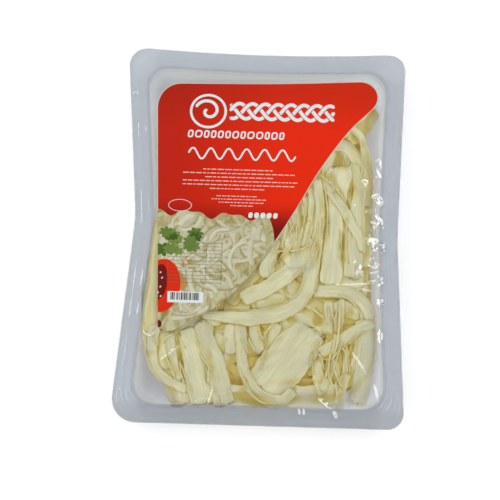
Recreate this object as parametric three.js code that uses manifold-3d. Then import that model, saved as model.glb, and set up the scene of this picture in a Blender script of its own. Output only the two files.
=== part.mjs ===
// A sealed clear tray pack of loose string cheese, lying flat with its printed side up.
// Millimetres, +Z up, +X across, +Y towards the top of the print.
// The origin is the centre of the underside that the tray rests on.
//
// Four pieces: the thermoformed tray, the heap of cheese ribbons in it, the lid film that is
// sealed to the tray's flange and drawn down onto the cheese, and the print on the film.

import * as THREE from 'three';
import Module from 'manifold-3d';

const wasm = await Module();
wasm.setup();

// ---- Driving dimensions ----

// Outline of the flange. The film has shrunk since sealing and draws both long sides in.
const packWidth = 239;
const packLength = 318;
const cornerRadii = [13.5, 16, 20, 14]; // of the flange: top right, top left, bottom left, bottom right
const cavityRadius = 20;
// Share of the width by which a side draws in towards an end; the bottom end is wider by its share
const endTaper = { topLeft: -0.0032, topRight: 0.0125, bottom: 0.0125 };
const leftPinch = { depth: 11.4, at: 13, reach: 145 };
const rightPinch = { depth: 5.8, at: 0, reach: 140 };
const pinchRounding = 6;
const topDip = { depth: 3.2, reach: 100 }; // how far the middle of the top edge is drawn in

// Tray
const sheet = 0.7; // wall thickness
const flangeTop = 18.5;
const flangeWidth = 14.6;
const sealGrooves = [4.8, 11]; // insets of the two pressed seal lines
const grooveDepth = 0.35;
const grooveHalfWidth = 0.9;
const ledgeDrop = 1.2;
const ledgeChamfer = 0.8; // width of the slope from the flange down to the ledge
const ledgeWidth = 0.8;
const ledgeFall = 0.1;
const wallDraft = 1.6;
const floorRadius = 4.2;

// Film and print
const filmThickness = 0.3;
const skinGap = 0.3; // kept between any two pieces
const printThickness = 0.3;
const filmWallInset = 17.2; // where the film turns down into the cavity, clear of the ledge
const filmWallDrop = 0.9;
const filmInsets = [0.3, flangeWidth, filmWallInset, 20.5, 24.5, 30, 38, 50, 66, 82, 98];
const filmRest = { depth: 1.6, from: 3, to: 30 }; // sag away from the print
// Where there is little cheese below, the film is drawn down: centre, reach and depth of each dip
const filmDips = [
  { x: 97, y: 15, reachX: 5, reachY: 62, depth: 4 },
  { x: -88, y: -131, reachX: 15, reachY: 13, depth: 5 },
  { x: 10, y: -141, reachX: 90, reachY: 6, depth: 2.5 },
  { x: 88, y: -138, reachX: 16, reachY: 10, depth: 4.5 },
];

// Heap of cheese
const heap = {
  halfWidth: 91, halfLength: 131, middleY: -4, squareness: 5, // outline of the plain core
  base: 3.4, top: 6.8, bump: 1.3, // underside, mean top and unevenness of the core
  coveredTop: 12, // mean top where the print covers the heap
};
const ribbonStep = 7.5; // length of one facet along a ribbon
const settleStep = 2;
const slack = 0.02; // how readily a ribbon sags between what holds it up, per settleStep
const settleSweeps = 60;
const embed = 0.5; // depth by which a ribbon is sunk in what it lies on
const clearOfFilm = 0.2; // kept below the film besides the gap
const simplifyTolerance = 0.12;

// Mesh steps round the outline
const cornerSteps = 5;
const shortSteps = 7;
const longSteps = 10;

const filmTop = flangeTop + skinGap + filmThickness;
const printBase = filmTop + skinGap;

const { smoothstep, lerp, clamp } = THREE.MathUtils;

// ---- Outline ----

// How far a long side is drawn in at height y: a V with a rounded tip
function pinchDepth({ depth, at, reach }, y) {
  const away = Math.hypot(y - at, pinchRounding) - pinchRounding;
  return depth * Math.max(0, 1 - away / reach);
}

// Turns the even rounded rectangle into the outline of the shrunk pack
function drawIn(x, y) {
  const nearSide = smoothstep(Math.abs(x) / (packWidth / 2), 0.3, 0.85);
  const nearTop = smoothstep(y / (packLength / 2), 0.5, 0.9);
  const pinch = pinchDepth(x < 0 ? leftPinch : rightPinch, y) * nearSide;
  const dip = topDip.depth * Math.max(0, 1 - (x / topDip.reach) ** 2) * nearTop;
  const taper = y < 0 ? endTaper.bottom : x < 0 ? endTaper.topLeft : endTaper.topRight;
  return [x * (1 - (taper * y) / (packLength / 2)) - Math.sign(x) * pinch, y - dip];
}

// One closed ring of points at an inset from the flange's edge, counter-clockwise from above
function outlineRing(inset) {
  const halfWidth = packWidth / 2 - inset;
  const halfLength = packLength / 2 - inset;
  const cornerPoint = (corner, step) => {
    const opened = lerp(cornerRadii[corner], cavityRadius, clamp(inset / flangeWidth, 0, 1));
    const radius = Math.min(opened, halfWidth * 0.6);
    const signX = corner === 0 || corner === 3 ? 1 : -1;
    const signY = corner < 2 ? 1 : -1;
    const angle = ((corner + step / cornerSteps) * Math.PI) / 2;
    return [
      signX * (halfWidth - radius) + radius * Math.cos(angle),
      signY * (halfLength - radius) + radius * Math.sin(angle),
    ];
  };
  const ring = [];
  for (let corner = 0; corner < 4; corner += 1) {
    for (let step = 0; step <= cornerSteps; step += 1) ring.push(cornerPoint(corner, step));
    const [fromX, fromY] = cornerPoint(corner, cornerSteps);
    const [toX, toY] = cornerPoint((corner + 1) % 4, 0);
    const sideSteps = corner % 2 === 0 ? shortSteps : longSteps;
    for (let step = 1; step < sideSteps; step += 1) {
      ring.push([lerp(fromX, toX, step / sideSteps), lerp(fromY, toY, step / sideSteps)]);
    }
  }
  return ring.map(([x, y]) => drawIn(x, y));
}

// ---- Meshes ----

function signedVolume(positions, indices) {
  const [a, b, c] = [new THREE.Vector3(), new THREE.Vector3(), new THREE.Vector3()];
  let volume = 0;
  for (let i = 0; i < indices.length; i += 3) {
    a.fromArray(positions, indices[i] * 3);
    b.fromArray(positions, indices[i + 1] * 3);
    c.fromArray(positions, indices[i + 2] * 3);
    volume += a.dot(b.cross(c)) / 6;
  }
  return volume;
}

// A closed body from rings of equal length, with each end ring closed by a fan round its middle
function loft(rings) {
  const count = rings[0].length;
  const positions = rings.flat(2);
  const indices = [];
  for (let r = 0; r + 1 < rings.length; r += 1) {
    for (let i = 0; i < count; i += 1) {
      const j = (i + 1) % count;
      const [a, b, c, d] = [r * count + i, r * count + j, (r + 1) * count + j, (r + 1) * count + i];
      indices.push(a, b, c, a, c, d);
    }
  }
  for (const [r, turn] of [[0, -1], [rings.length - 1, 1]]) {
    const middle = positions.length / 3;
    for (let axis = 0; axis < 3; axis += 1) {
      positions.push(rings[r].reduce((sum, point) => sum + point[axis], 0) / count);
    }
    for (let i = 0; i < count; i += 1) {
      const [here, next] = [r * count + i, r * count + ((i + 1) % count)];
      indices.push(...(turn > 0 ? [middle, here, next] : [middle, next, here]));
    }
  }
  if (signedVolume(positions, indices) < 0) indices.reverse();
  const geometry = new THREE.BufferGeometry();
  geometry.setAttribute('position', new THREE.Float32BufferAttribute(positions, 3));
  geometry.setIndex(indices);
  return geometry;
}

function toSolid(geometry) {
  return new wasm.Manifold(new wasm.Mesh({
    numProp: 3,
    vertProperties: geometry.attributes.position.array,
    triVerts: new Uint32Array(geometry.index.array),
  }));
}

function toGeometry(solid) {
  const mesh = solid.getMesh();
  const geometry = new THREE.BufferGeometry();
  geometry.setAttribute('position', new THREE.BufferAttribute(mesh.vertProperties, 3));
  geometry.setIndex(new THREE.BufferAttribute(mesh.triVerts, 1));
  return geometry;
}

// The whole mesh at one level ring by ring: profile is a list of [inset, height]
function ringsOf(profile) {
  return profile.map(([inset, height]) => outlineRing(inset).map(([x, y]) => [x, y, height]));
}

// ---- Tray ----

// Inside of the cavity from the floor's edge up to the flange, as [inset, height]
function cavityProfile(shift) {
  const ledge = flangeWidth + ledgeChamfer;
  const wallTop = ledge + ledgeWidth;
  const wallFoot = wallTop + wallDraft;
  return [
    [wallFoot + floorRadius * 1.5 + shift, sheet + shift],
    [wallFoot + floorRadius * 0.75 + shift, sheet + 0.05 * floorRadius + shift],
    [wallFoot + floorRadius * 0.25 + shift, sheet + 0.35 * floorRadius + shift],
    [wallFoot + shift, sheet + floorRadius],
    [wallTop + shift, flangeTop - ledgeDrop - ledgeFall],
    [ledge + shift, flangeTop - ledgeDrop],
    [flangeWidth + shift, flangeTop],
  ];
}

function trayGeometry() {
  const grooves = [...sealGrooves].reverse().flatMap((inset) => [
    [inset + grooveHalfWidth, flangeTop],
    [inset, flangeTop - grooveDepth],
    [inset - grooveHalfWidth, flangeTop],
  ]);
  const edge = [[0, flangeTop], [0, flangeTop - sheet]];
  // The underside is the inside moved out by the sheet's thickness
  const underside = cavityProfile(0)
    .map(([inset, height]) => [inset - sheet, Math.max(0, height - sheet)])
    .reverse();
  underside[underside.length - 1] = [cavityProfile(0)[0][0] - sheet / 2, 0];
  return loft(ringsOf([...cavityProfile(0), ...grooves, ...edge, ...underside]));
}

// ---- Print ----

// The print has two rounded top corners and a long slanted edge that sweeps down to a blunt tip
const printLeft = { topX: -93, bottomX: -85.4, topY: 107, bottomY: -75 };
const printTop = { leftX: -74, leftY: 129.1, middleX: 10, middleY: 131.2, rightX: 79.6, rightY: 134.9 };
const printSlant = [[88.9, 109], [71.7, 91.6], [46.6, 56.2], [26.9, 21.2], [4.8, -14.2], [-17, -42.9], [-36, -60.2]];
const printTip = { x: -72, y: -82 };

function printShape() {
  const shape = new THREE.Shape();
  shape.moveTo(printLeft.bottomX, printLeft.bottomY);
  shape.lineTo(printLeft.topX, printLeft.topY);
  shape.bezierCurveTo(printLeft.topX, 119.5, -85, 128.2, printTop.leftX, printTop.leftY);
  shape.lineTo(printTop.middleX, printTop.middleY);
  shape.lineTo(printTop.rightX, printTop.rightY);
  shape.bezierCurveTo(92, 135.2, 102, 121, printSlant[0][0], printSlant[0][1]);
  shape.splineThru([...printSlant.slice(1), [printTip.x, printTip.y]].map(([x, y]) => new THREE.Vector2(x, y)));
  shape.bezierCurveTo(-79, -84.5, -85, -81, printLeft.bottomX, printLeft.bottomY);
  return shape;
}

const printOutline = printShape().getPoints(7);

// Distance from a point to the print, 0 on it
function distanceToPrint(x, y) {
  let inside = false;
  let nearest = Infinity;
  printOutline.forEach((a, i) => {
    const b = printOutline[(i + 1) % printOutline.length];
    if (a.y > y !== b.y > y && x < ((b.x - a.x) * (y - a.y)) / (b.y - a.y) + a.x) inside = !inside;
    const [dx, dy] = [b.x - a.x, b.y - a.y];
    const along = clamp(((x - a.x) * dx + (y - a.y) * dy) / (dx * dx + dy * dy || 1), 0, 1);
    nearest = Math.min(nearest, Math.hypot(x - a.x - along * dx, y - a.y - along * dy));
  });
  return inside ? 0 : nearest;
}

function printGeometry() {
  const geometry = new THREE.ExtrudeGeometry(printShape(), {
    depth: printThickness, bevelEnabled: false, curveSegments: 7,
  });
  return geometry.translate(0, 0, printBase);
}

// ---- Film ----

// Top of the film: level on the flange and under the print, and drawn down elsewhere
function filmHeight(x, y) {
  const away = distanceToPrint(x, y);
  const rest = filmRest.depth * smoothstep(away, filmRest.from, filmRest.to);
  const dips = filmDips.reduce((sum, dip) => {
    const spread = ((x - dip.x) / dip.reachX) ** 2 + ((y - dip.y) / dip.reachY) ** 2;
    return sum + dip.depth * Math.exp(-spread);
  }, 0);
  return filmTop - rest - dips * smoothstep(away, 0, 8);
}

// One ring of the film, level while it lies on the flange
function filmRing(inset, drop) {
  const lowest = inset <= flangeWidth ? filmTop : inset <= filmWallInset ? filmTop - filmWallDrop : 0;
  return outlineRing(inset).map(([x, y]) => [x, y, Math.max(filmHeight(x, y), lowest) - drop]);
}

function filmGeometry() {
  const above = filmInsets.map((inset) => filmRing(inset, 0)).reverse();
  const below = filmInsets.map((inset) => filmRing(inset, filmThickness));
  return loft([...above, ...below]);
}

// ---- Cheese ----

// Ribbons from the bottom of the heap to the top. Each has the points its centre line runs
// through, its width, one value or one at each point, and its thickness.
const ribbons = [
  { path: [[85, 117], [87, 101], [83, 87], [79, 76]], width: 13, thick: 2.4 },
  { path: [[-74, -110], [-70, -125], [-63, -144]], width: 17, thick: 2.2 },
  { path: [[-79, -80], [-81, -97], [-74, -113]], width: 15, thick: 2.2 },
  { path: [[14, -72], [9, -87], [4, -100]], width: 10, thick: 2.6 },
  { path: [[-56, -126], [-52, -134], [-47, -141]], width: 9, thick: 2.4 },
  {
    path: [[-89.5, 6], [-91, -24], [-92.3, -46], [-92.8, -66], [-92, -86]],
    width: [6, 8, 11, 13, 12], thick: 6,
  },
  { path: [[57, -53], [57.5, -66], [56, -80]], width: 8, thick: 3 },
  { path: [[65.5, -52], [66.5, -66], [65, -78]], width: [9, 8, 6], thick: 3 },
  { path: [[91, -74], [89.5, -96], [87.5, -116], [82.5, -138]], width: 15, thick: 3 },
  { path: [[54, -86], [49, -102], [50, -118], [54, -132]], width: 9, thick: 2.8 },
  { path: [[70, -86], [73, -100], [72, -114]], width: 5, thick: 2.8 },
  { path: [[64, -104], [66, -117], [71, -125]], width: 5, thick: 2.8 },
  { path: [[73, -114], [69, -128], [68, -144]], width: 8, thick: 2.8 },
  { path: [[-75, -83], [-73.5, -96], [-70.5, -110], [-65, -124]], width: 7.5, thick: 3 },
  { path: [[-24, -74], [-24, -88], [-23, -100]], width: 11, thick: 3 },
  { path: [[-5, -72], [-3, -86], [0, -99]], width: 9, thick: 3 },
  { path: [[44, -77], [34, -90], [18.5, -110], [6, -125]], width: [24, 34, 36, 28], thick: 3.4 },
  {
    path: [[-16, -74], [-15, -94], [-12.5, -112], [-5, -127], [8, -136], [21, -137], [29, -128]],
    width: 9, thick: 3.4,
  },
  {
    path: [
      [-84.5, -77], [-87, -86], [-88.3, -98], [-87, -110], [-79.5, -120], [-68.5, -126.5],
      [-59, -130.5],
    ],
    width: 7, thick: 4,
  },
  {
    path: [[-60, -79], [-57, -93], [-53.5, -108], [-50, -122], [-45, -142]],
    width: [14, 17, 19, 20, 21], thick: 3.6,
  },
  {
    path: [[-51.5, -74], [-45, -87], [-38.5, -102], [-33.5, -118], [-28, -143]],
    width: [9, 13, 15, 16, 17], thick: 3.6,
  },
  {
    path: [[60, 94], [73, 94], [83.5, 88], [89, 75], [90.2, 56], [90, 26], [88.5, -4], [87.5, -24]],
    width: [6, 6, 6, 7, 8, 8, 8, 8], thick: 3.4,
  },
  { path: [[55, 80], [68, 79], [77, 69.5], [83.5, 58.5], [86, 44], [85, 27]], width: 10, thick: 3 },
  { path: [[72, 64], [78, 46], [78, 26], [77, -4], [76, -34]], width: [9, 12, 14, 16, 14], thick: 3.4 },
  { path: [[58, 76], [53, 62], [53, 48], [56, 34], [57, 18]], width: 8, thick: 3 },
  {
    path: [[63.5, 60], [64, 46], [61.8, 26], [59.2, -7], [58.5, -38]],
    width: [20, 21, 13.5, 14.5, 20], thick: 3.6,
  },
  { path: [[95, -69], [85, -75], [73, -82], [61, -91], [50, -98]], width: 9, thick: 2.6 },
  { path: [[65, -80], [63.5, -96], [60, -112], [53, -128]], width: 6, thick: 2.6 },
  { path: [[43, -45], [60, -45], [76, -47], [87, -55], [93, -67]], width: 10, thick: 3.2 },
  { path: [[20, 10], [14, -8], [5, -18], [3, -31]], width: [8, 8, 7, 7], thick: 3 },
  { path: [[25.5, 17.6], [23.9, 7.1], [21.6, -2.8], [19.2, -11.3]], width: 10, thick: 2.6 },
  { path: [[28, 28], [29, 10], [27, -6], [21, -19], [10, -30]], width: 10, thick: 3.2 },
  { path: [[33.6, 31.6], [35.8, 23.1], [33.9, 18.5]], width: 6, thick: 2.8 },
  { path: [[36, 36], [37.5, 18], [36, 0], [31, -16], [26, -28]], width: 7, thick: 3.2 },
  { path: [[36.4, 4.2], [30.9, -9.6], [27.8, -21.5], [25.6, -33.4]], width: [10, 19, 24, 18], thick: 2.6 },
  { path: [[3.9, -18.3], [3.5, -26.1], [0.5, -33.9]], width: 8, thick: 2.8 },
  {
    path: [[41, 44], [42, 22], [39, 0], [32, -18], [21, -32], [6, -43], [-16, -54]],
    width: [8, 8, 10, 14, 14, 13, 12], thick: 3.6,
  },
  {
    path: [
      [44, 50], [48, 30], [47.5, 8], [43, -22], [38.5, -43], [30, -57], [13, -66], [-12, -69.5],
      [-49, -68],
    ],
    width: [7, 8, 8, 11, 12, 12, 12, 12, 6], thick: 3.8,
  },
];

// The underside of the heap shows through the floor of the tray: ribbons that lie across it
const lowerRibbons = { count: 11, width: 17, thick: 2.6, bend: 16, tilt: 24, stride: 8, seed: 7 };

// Small seeded generator, so that every build gives the same heap
function randomFrom(seed) {
  let state = seed;
  return () => {
    state = (state * 1664525 + 1013904223) % 4294967296;
    return state / 4294967296;
  };
}

// How far a point lies behind the straight line along the print's slanted edge
function behindSlant(x, y) {
  const [startX, startY] = printSlant[0];
  const along = new THREE.Vector2(startX - printTip.x, startY - printTip.y).normalize();
  return (startX - x) * along.y + (y - startY) * along.x;
}

// Top of the plain core: low and rolling where ribbons lie on it, higher behind the print
function coreTop(x, y) {
  const roll = Math.sin(x / 13 + 1.3 * Math.sin(y / 21)) * Math.cos(y / 17 + 0.8 * Math.sin(x / 19));
  const mean = lerp(heap.top, heap.coveredTop, smoothstep(behindSlant(x, y), 4, 36));
  return mean + heap.bump * roll;
}

// Share of the way from the middle of the heap to its rounded outline: 1 on the outline
function reachInHeap(x, y) {
  const power = heap.squareness;
  const [alongX, alongY] = [x / heap.halfWidth, (y - heap.middleY) / heap.halfLength];
  return (Math.abs(alongX) ** power + Math.abs(alongY) ** power) ** (1 / power);
}

function coreGeometry() {
  const around = 40;
  const ringAt = (share, heightOf) => Array.from({ length: around }, (_, i) => {
    const angle = (i / around) * 2 * Math.PI;
    const [dx, dy] = [heap.halfWidth * Math.cos(angle), heap.halfLength * Math.sin(angle)];
    const scale = share / reachInHeap(dx, dy + heap.middleY);
    const [x, y] = [dx * scale, dy * scale + heap.middleY];
    return [x, y, heightOf(x, y)];
  });
  const shares = [0.2, 0.45, 0.7, 0.9];
  return loft([
    ...shares.map((share) => ringAt(share, coreTop)),
    ringAt(0.98, (x, y) => coreTop(x, y) - 1.2),
    ringAt(1, () => heap.base + 0.6),
    ringAt(0.97, () => heap.base),
  ]);
}

// Heights already taken up by the heap, on a square grid
function heightGrid() {
  const cell = 2;
  const columns = Math.ceil(packWidth / cell);
  const rows = Math.ceil(packLength / cell);
  const heights = new Float64Array(columns * rows);
  const slot = (x, y) => {
    const column = clamp(Math.floor((x + packWidth / 2) / cell), 0, columns - 1);
    const row = clamp(Math.floor((y + packLength / 2) / cell), 0, rows - 1);
    return row * columns + column;
  };
  for (let row = 0; row < rows; row += 1) {
    for (let column = 0; column < columns; column += 1) {
      const x = (column + 0.5) * cell - packWidth / 2;
      const y = (row + 0.5) * cell - packLength / 2;
      heights[row * columns + column] = reachInHeap(x, y) < 0.97 ? coreTop(x, y) : sheet + skinGap;
    }
  }
  return {
    at: (x, y) => heights[slot(x, y)],
    raise: (x, y, height) => {
      heights[slot(x, y)] = Math.max(heights[slot(x, y)], height);
    },
  };
}

// Samples along a ribbon's centre line: place, sideways direction and width with rounded ends
function ribbonSamples({ path, width }) {
  const curve = new THREE.CatmullRomCurve3(path.map(([x, y]) => new THREE.Vector3(x, y, 0)));
  const length = curve.getLength();
  const count = Math.round(length / settleStep);
  const widths = Array.isArray(width) ? width : path.map(() => width);
  return Array.from({ length: count + 1 }, (_, i) => {
    const along = i / count;
    const point = curve.getPointAt(along);
    const tangent = curve.getTangentAt(along);
    const knot = curve.getUtoTmapping(along) * (widths.length - 1);
    const lower = Math.min(Math.floor(knot), widths.length - 2);
    const full = lerp(widths[lower], widths[lower + 1], knot - lower);
    const toEnd = Math.min(along, 1 - along) * length;
    const rounding = clamp(toEnd / (full * 0.4), 0, 1);
    const share = 0.45 + 0.55 * Math.sqrt(1 - (1 - rounding) ** 2);
    return { x: point.x, y: point.y, sideX: -tangent.y, sideY: tangent.x, width: full * share };
  });
}

// Places across a ribbon at one sample, from -1 to 1 of its half width
const acrossSteps = [-0.9, -0.6, -0.3, 0, 0.3, 0.6, 0.9];

// Lays a ribbon on the heap: it rests on the highest thing below it, sags a little between
// such places, stays under the film, and then counts as part of the heap itself
function settle(ribbon, grid) {
  const samples = ribbonSamples(ribbon);
  const placeAt = (sample, share) => [
    sample.x + (sample.sideX * sample.width * share) / 2,
    sample.y + (sample.sideY * sample.width * share) / 2,
  ];
  for (const sample of samples) {
    const below = acrossSteps.map((share) => grid.at(...placeAt(sample, share)));
    sample.support = Math.max(...below);
    sample.foot = Math.min(...below);
    sample.base = sample.support;
  }
  for (let sweep = 0; sweep < settleSweeps; sweep += 1) {
    for (let i = 1; i + 1 < samples.length; i += 1) {
      const mean = (samples[i - 1].base + samples[i + 1].base) / 2;
      samples[i].base = Math.max(samples[i].support, mean - slack);
    }
  }
  for (const sample of samples) {
    const ceiling = filmHeight(sample.x, sample.y) - filmThickness - skinGap - clearOfFilm;
    sample.top = Math.min(sample.base + ribbon.thick, ceiling);
    sample.foot = Math.max(Math.min(sample.foot, sample.top - ribbon.thick) - embed, sheet + skinGap);
    for (const share of acrossSteps) {
      grid.raise(...placeAt(sample, share), sample.top - ribbon.thick * 0.5 * share ** 2);
    }
  }
  return samples;
}

// A ribbon's section: flat-topped with rounded shoulders, its sides running down into the heap
const broadSection = [[-1, 0], [-1, 0.5], [-0.55, 0.95], [0, 1], [0.55, 0.95], [1, 0.5], [1, 0]];
const narrowSection = [[-1, 0], [-1, 0.5], [-0.4, 1], [0.4, 1], [1, 0.5], [1, 0]];
const broadFrom = 18; // width from which a ribbon takes the finer section

function ribbonGeometry(samples, thick) {
  const widest = Math.max(...samples.map((sample) => sample.width));
  const section = widest > broadFrom ? broadSection : narrowSection;
  const last = samples.length - 1;
  const stride = Math.max(1, Math.round(ribbonStep / settleStep));
  const kept = samples.filter((_, i) => i % stride === 0 || i === 1 || i === last - 1 || i === last);
  return loft(kept.map((sample) => section.map(([across, up]) => [
    sample.x + (sample.sideX * sample.width * across) / 2,
    sample.y + (sample.sideY * sample.width * across) / 2,
    up === 0 ? sample.foot : sample.top - thick * (1 - up),
  ])));
}

// Ribbons that cross below the core from side to side, bent by a seeded draw
const lowerSection = [[-0.7, 0], [-1, 1], [1, 1], [0.7, 0]];

function lowerGeometries() {
  const random = randomFrom(lowerRibbons.seed);
  const { count, width, thick, bend, tilt, stride } = lowerRibbons;
  return Array.from({ length: count }, (_, i) => {
    const share = lerp(-0.9, 0.9, (i + 0.5) / count);
    const middle = share * heap.halfLength + heap.middleY;
    const rise = (random() - 0.5) * tilt;
    const sway = (random() - 0.5) * bend;
    const half = heap.halfWidth * 0.96 * (1 - Math.abs(share) ** heap.squareness);
    const path = [[-half, middle - rise], [-half / 2, middle + sway], [half / 2, middle - sway],
      [half, middle + rise]];
    const foot = sheet + skinGap + 0.4 * random();
    const samples = ribbonSamples({ path, width: width * (0.6 + 0.5 * random()) });
    return loft(samples.filter((_s, k) => k % stride === 0 || k === samples.length - 1)
      .map((sample) => lowerSection.map(([across, up]) => [
        sample.x + (sample.sideX * sample.width * across) / 2,
        sample.y + (sample.sideY * sample.width * across) / 2,
        foot + thick * up,
      ])));
  });
}

// The room between tray and film, a gap inside both, that the heap may fill
function roomGeometry() {
  const walls = cavityProfile(skinGap + 0.05).slice(0, -1);
  const roof = filmInsets.filter((inset) => inset > flangeWidth)
    .map((inset) => filmRing(inset, filmThickness + skinGap));
  return loft([...ringsOf(walls), ...roof]);
}

function cheeseGeometry() {
  const grid = heightGrid();
  const pieces = ribbons.map((ribbon) => ribbonGeometry(settle(ribbon, grid), ribbon.thick));
  const joined = [coreGeometry(), ...lowerGeometries(), ...pieces]
    .map(toSolid)
    .reduce((whole, piece) => whole.add(piece));
  const parts = joined.intersect(toSolid(roomGeometry())).simplify(simplifyTolerance).decompose();
  // The largest shell is the heap: loose scraps and sealed hollows fall away with the others
  parts.sort((a, b) => b.volume() - a.volume());
  return toGeometry(parts[0]);
}

// ---- The pack ----

function piece(name, geometry, colour, roughness, opacity = 1) {
  const material = new THREE.MeshStandardMaterial({
    color: colour, roughness, metalness: 0, transparent: opacity < 1, opacity,
  });
  const mesh = new THREE.Mesh(geometry, material);
  mesh.name = name;
  return mesh;
}

const pack = new THREE.Group();
pack.add(
  piece('tray', trayGeometry(), 0xb2b8c3, 0.2, 0.6),
  piece('cheese', cheeseGeometry(), 0xcbc7a2, 0.55),
  piece('film', filmGeometry(), 0xe8ecef, 0.1, 0.2),
  piece('print', printGeometry(), 0xd23a28, 0.4),
);

export default pack;
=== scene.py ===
import bpy
import bmesh
import math
import numpy as np
from mathutils import Matrix, Vector


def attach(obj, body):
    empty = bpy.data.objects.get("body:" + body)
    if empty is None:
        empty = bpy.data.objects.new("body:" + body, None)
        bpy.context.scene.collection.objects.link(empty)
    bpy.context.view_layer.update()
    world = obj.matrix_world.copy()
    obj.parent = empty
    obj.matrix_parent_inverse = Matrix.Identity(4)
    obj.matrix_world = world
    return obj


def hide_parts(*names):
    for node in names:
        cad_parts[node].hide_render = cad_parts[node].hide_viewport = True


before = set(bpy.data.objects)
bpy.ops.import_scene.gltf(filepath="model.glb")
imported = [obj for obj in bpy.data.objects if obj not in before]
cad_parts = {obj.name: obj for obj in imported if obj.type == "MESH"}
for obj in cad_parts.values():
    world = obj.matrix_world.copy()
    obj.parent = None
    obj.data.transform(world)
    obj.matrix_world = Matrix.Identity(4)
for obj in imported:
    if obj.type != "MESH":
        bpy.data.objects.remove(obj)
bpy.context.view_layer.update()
mm = 0.001


# Camera: almost straight above, tipped a little towards the near edge and turned a little. It comes
# first, because the folds of the film and some fibres are placed as it sees them.

shot = {
    "target": (-0.5, -3.4, 19), "far": 1100, "tilt": 8.0, "turn": 1.7,  # millimetres and degrees
    "lens": 94.3, "sensor": 36, "shift": (-0.024, -0.0218),
    "frame": 500, "readShift": (-0.024, -0.022),  # its side, and the shift when places were read in it
    "levels": {"film": 18.6, "strand": 15, "gap": 11},  # heights that the places are taken to lie at
}

# Enlarged crops that places were read on: left, top and zoom
crops = {"frame": (0, 0, 1), "heap": (230, 190, 13.07), "nearLeft": (150, 300, 13.07),
         "nearRight": (260, 290, 12.06)}


# The camera's directions to its right, up and back, and its place
def cameraAxes():
    tilt, turn = math.radians(shot["tilt"]), math.radians(shot["turn"])
    back = Vector((0, -math.sin(tilt), math.cos(tilt)))
    right = Vector((1, 0, 0))
    up = right.cross(-back)
    turnedRight = right * math.cos(turn) + up * math.sin(turn)
    turnedUp = up * math.cos(turn) - right * math.sin(turn)
    return turnedRight, turnedUp, back, Vector(shot["target"]) + back * shot["far"]


# Places (column, row) in the frame or on a crop of it, each followed along the ray
# across x right + upward x up - back from the camera until it meets its level, to a tenth of a millimetre
def seenAt(places, level, crop="frame"):
    right, up, back, eye = (np.array(axis) for axis in cameraAxes())
    left, top, zoom = crops[crop]
    column, row = (np.array(places, float) / zoom + (left, top)).T / shot["frame"]
    reach = shot["lens"] / shot["sensor"]
    across = (column - 0.5 + shot["readShift"][0]) / reach
    upward = (0.5 - row + shot["readShift"][1]) / reach
    rays = across[:, None] * right + upward[:, None] * up - back
    points = eye + rays * ((shot["levels"][level] - eye[2]) / rays[:, 2])[:, None]
    return np.round(points[:, :2], 1)


# Places read on the film, in millimetres
def onFilm(*places):
    return seenAt(places, "film")


# Places read on strands, in millimetres
def onStrand(*places, crop="frame"):
    return seenAt(places, "strand", crop)


# One place read in a gap of the heap, in millimetres
def inGap(column, row, crop):
    return seenAt([(column, row)], "gap", crop)[0]


# Shared shapes of the pack

pack = {
    "width": 239, "length": 318,
    "corners": (13.5, 16, 20, 14), "cavityCorner": 20,  # from the top right, counter-clockwise
    "taper": {"topLeft": -0.0032, "topRight": 0.0125, "bottom": 0.0125},
    "left": (11.4, 13, 145), "right": (5.8, 0, 140),  # depth, place and reach of each side's pinch
    "pinchRounding": 6, "topDip": (3.2, 100),
    "sheet": 0.7, "flangeTop": 18.5, "flangeWidth": 14.6,
    "filmTop": 19.1, "filmThickness": 0.3,
}


# 0 below low, 1 above high, and share^2 x (3 - 2 x share) between them
def smoothStep(value, low, high):
    share = np.clip((value - low) / (high - low), 0, 1)
    return share * share * (3 - 2 * share)


# exp(-((value - middle) / reach)^2)
def bell(value, middle, reach):
    return np.exp(-(((value - middle) / reach) ** 2))


# How far a long side is drawn in at height y: a V with a rounded tip
def pinchDepth(side, y):
    depth, at, reach = side
    rounding = pack["pinchRounding"]
    return depth * np.maximum(0, 1 - (np.hypot(y - at, rounding) - rounding) / reach)


# Turns an even rounded rectangle into the outline that the shrunk film has drawn in
def drawIn(x, y):
    halfWidth, halfLength = pack["width"] / 2, pack["length"] / 2
    depth, reach = pack["topDip"]
    nearSide = smoothStep(np.abs(x) / halfWidth, 0.3, 0.85)
    nearTop = smoothStep(y / halfLength, 0.5, 0.9)
    pinch = np.where(x < 0, pinchDepth(pack["left"], y), pinchDepth(pack["right"], y)) * nearSide
    dip = depth * np.maximum(0, 1 - (x / reach) ** 2) * nearTop
    taper = np.where(y < 0, pack["taper"]["bottom"],
                     np.where(x < 0, pack["taper"]["topLeft"], pack["taper"]["topRight"]))
    return x * (1 - taper * y / halfLength) - np.sign(x) * pinch, y - dip


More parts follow.
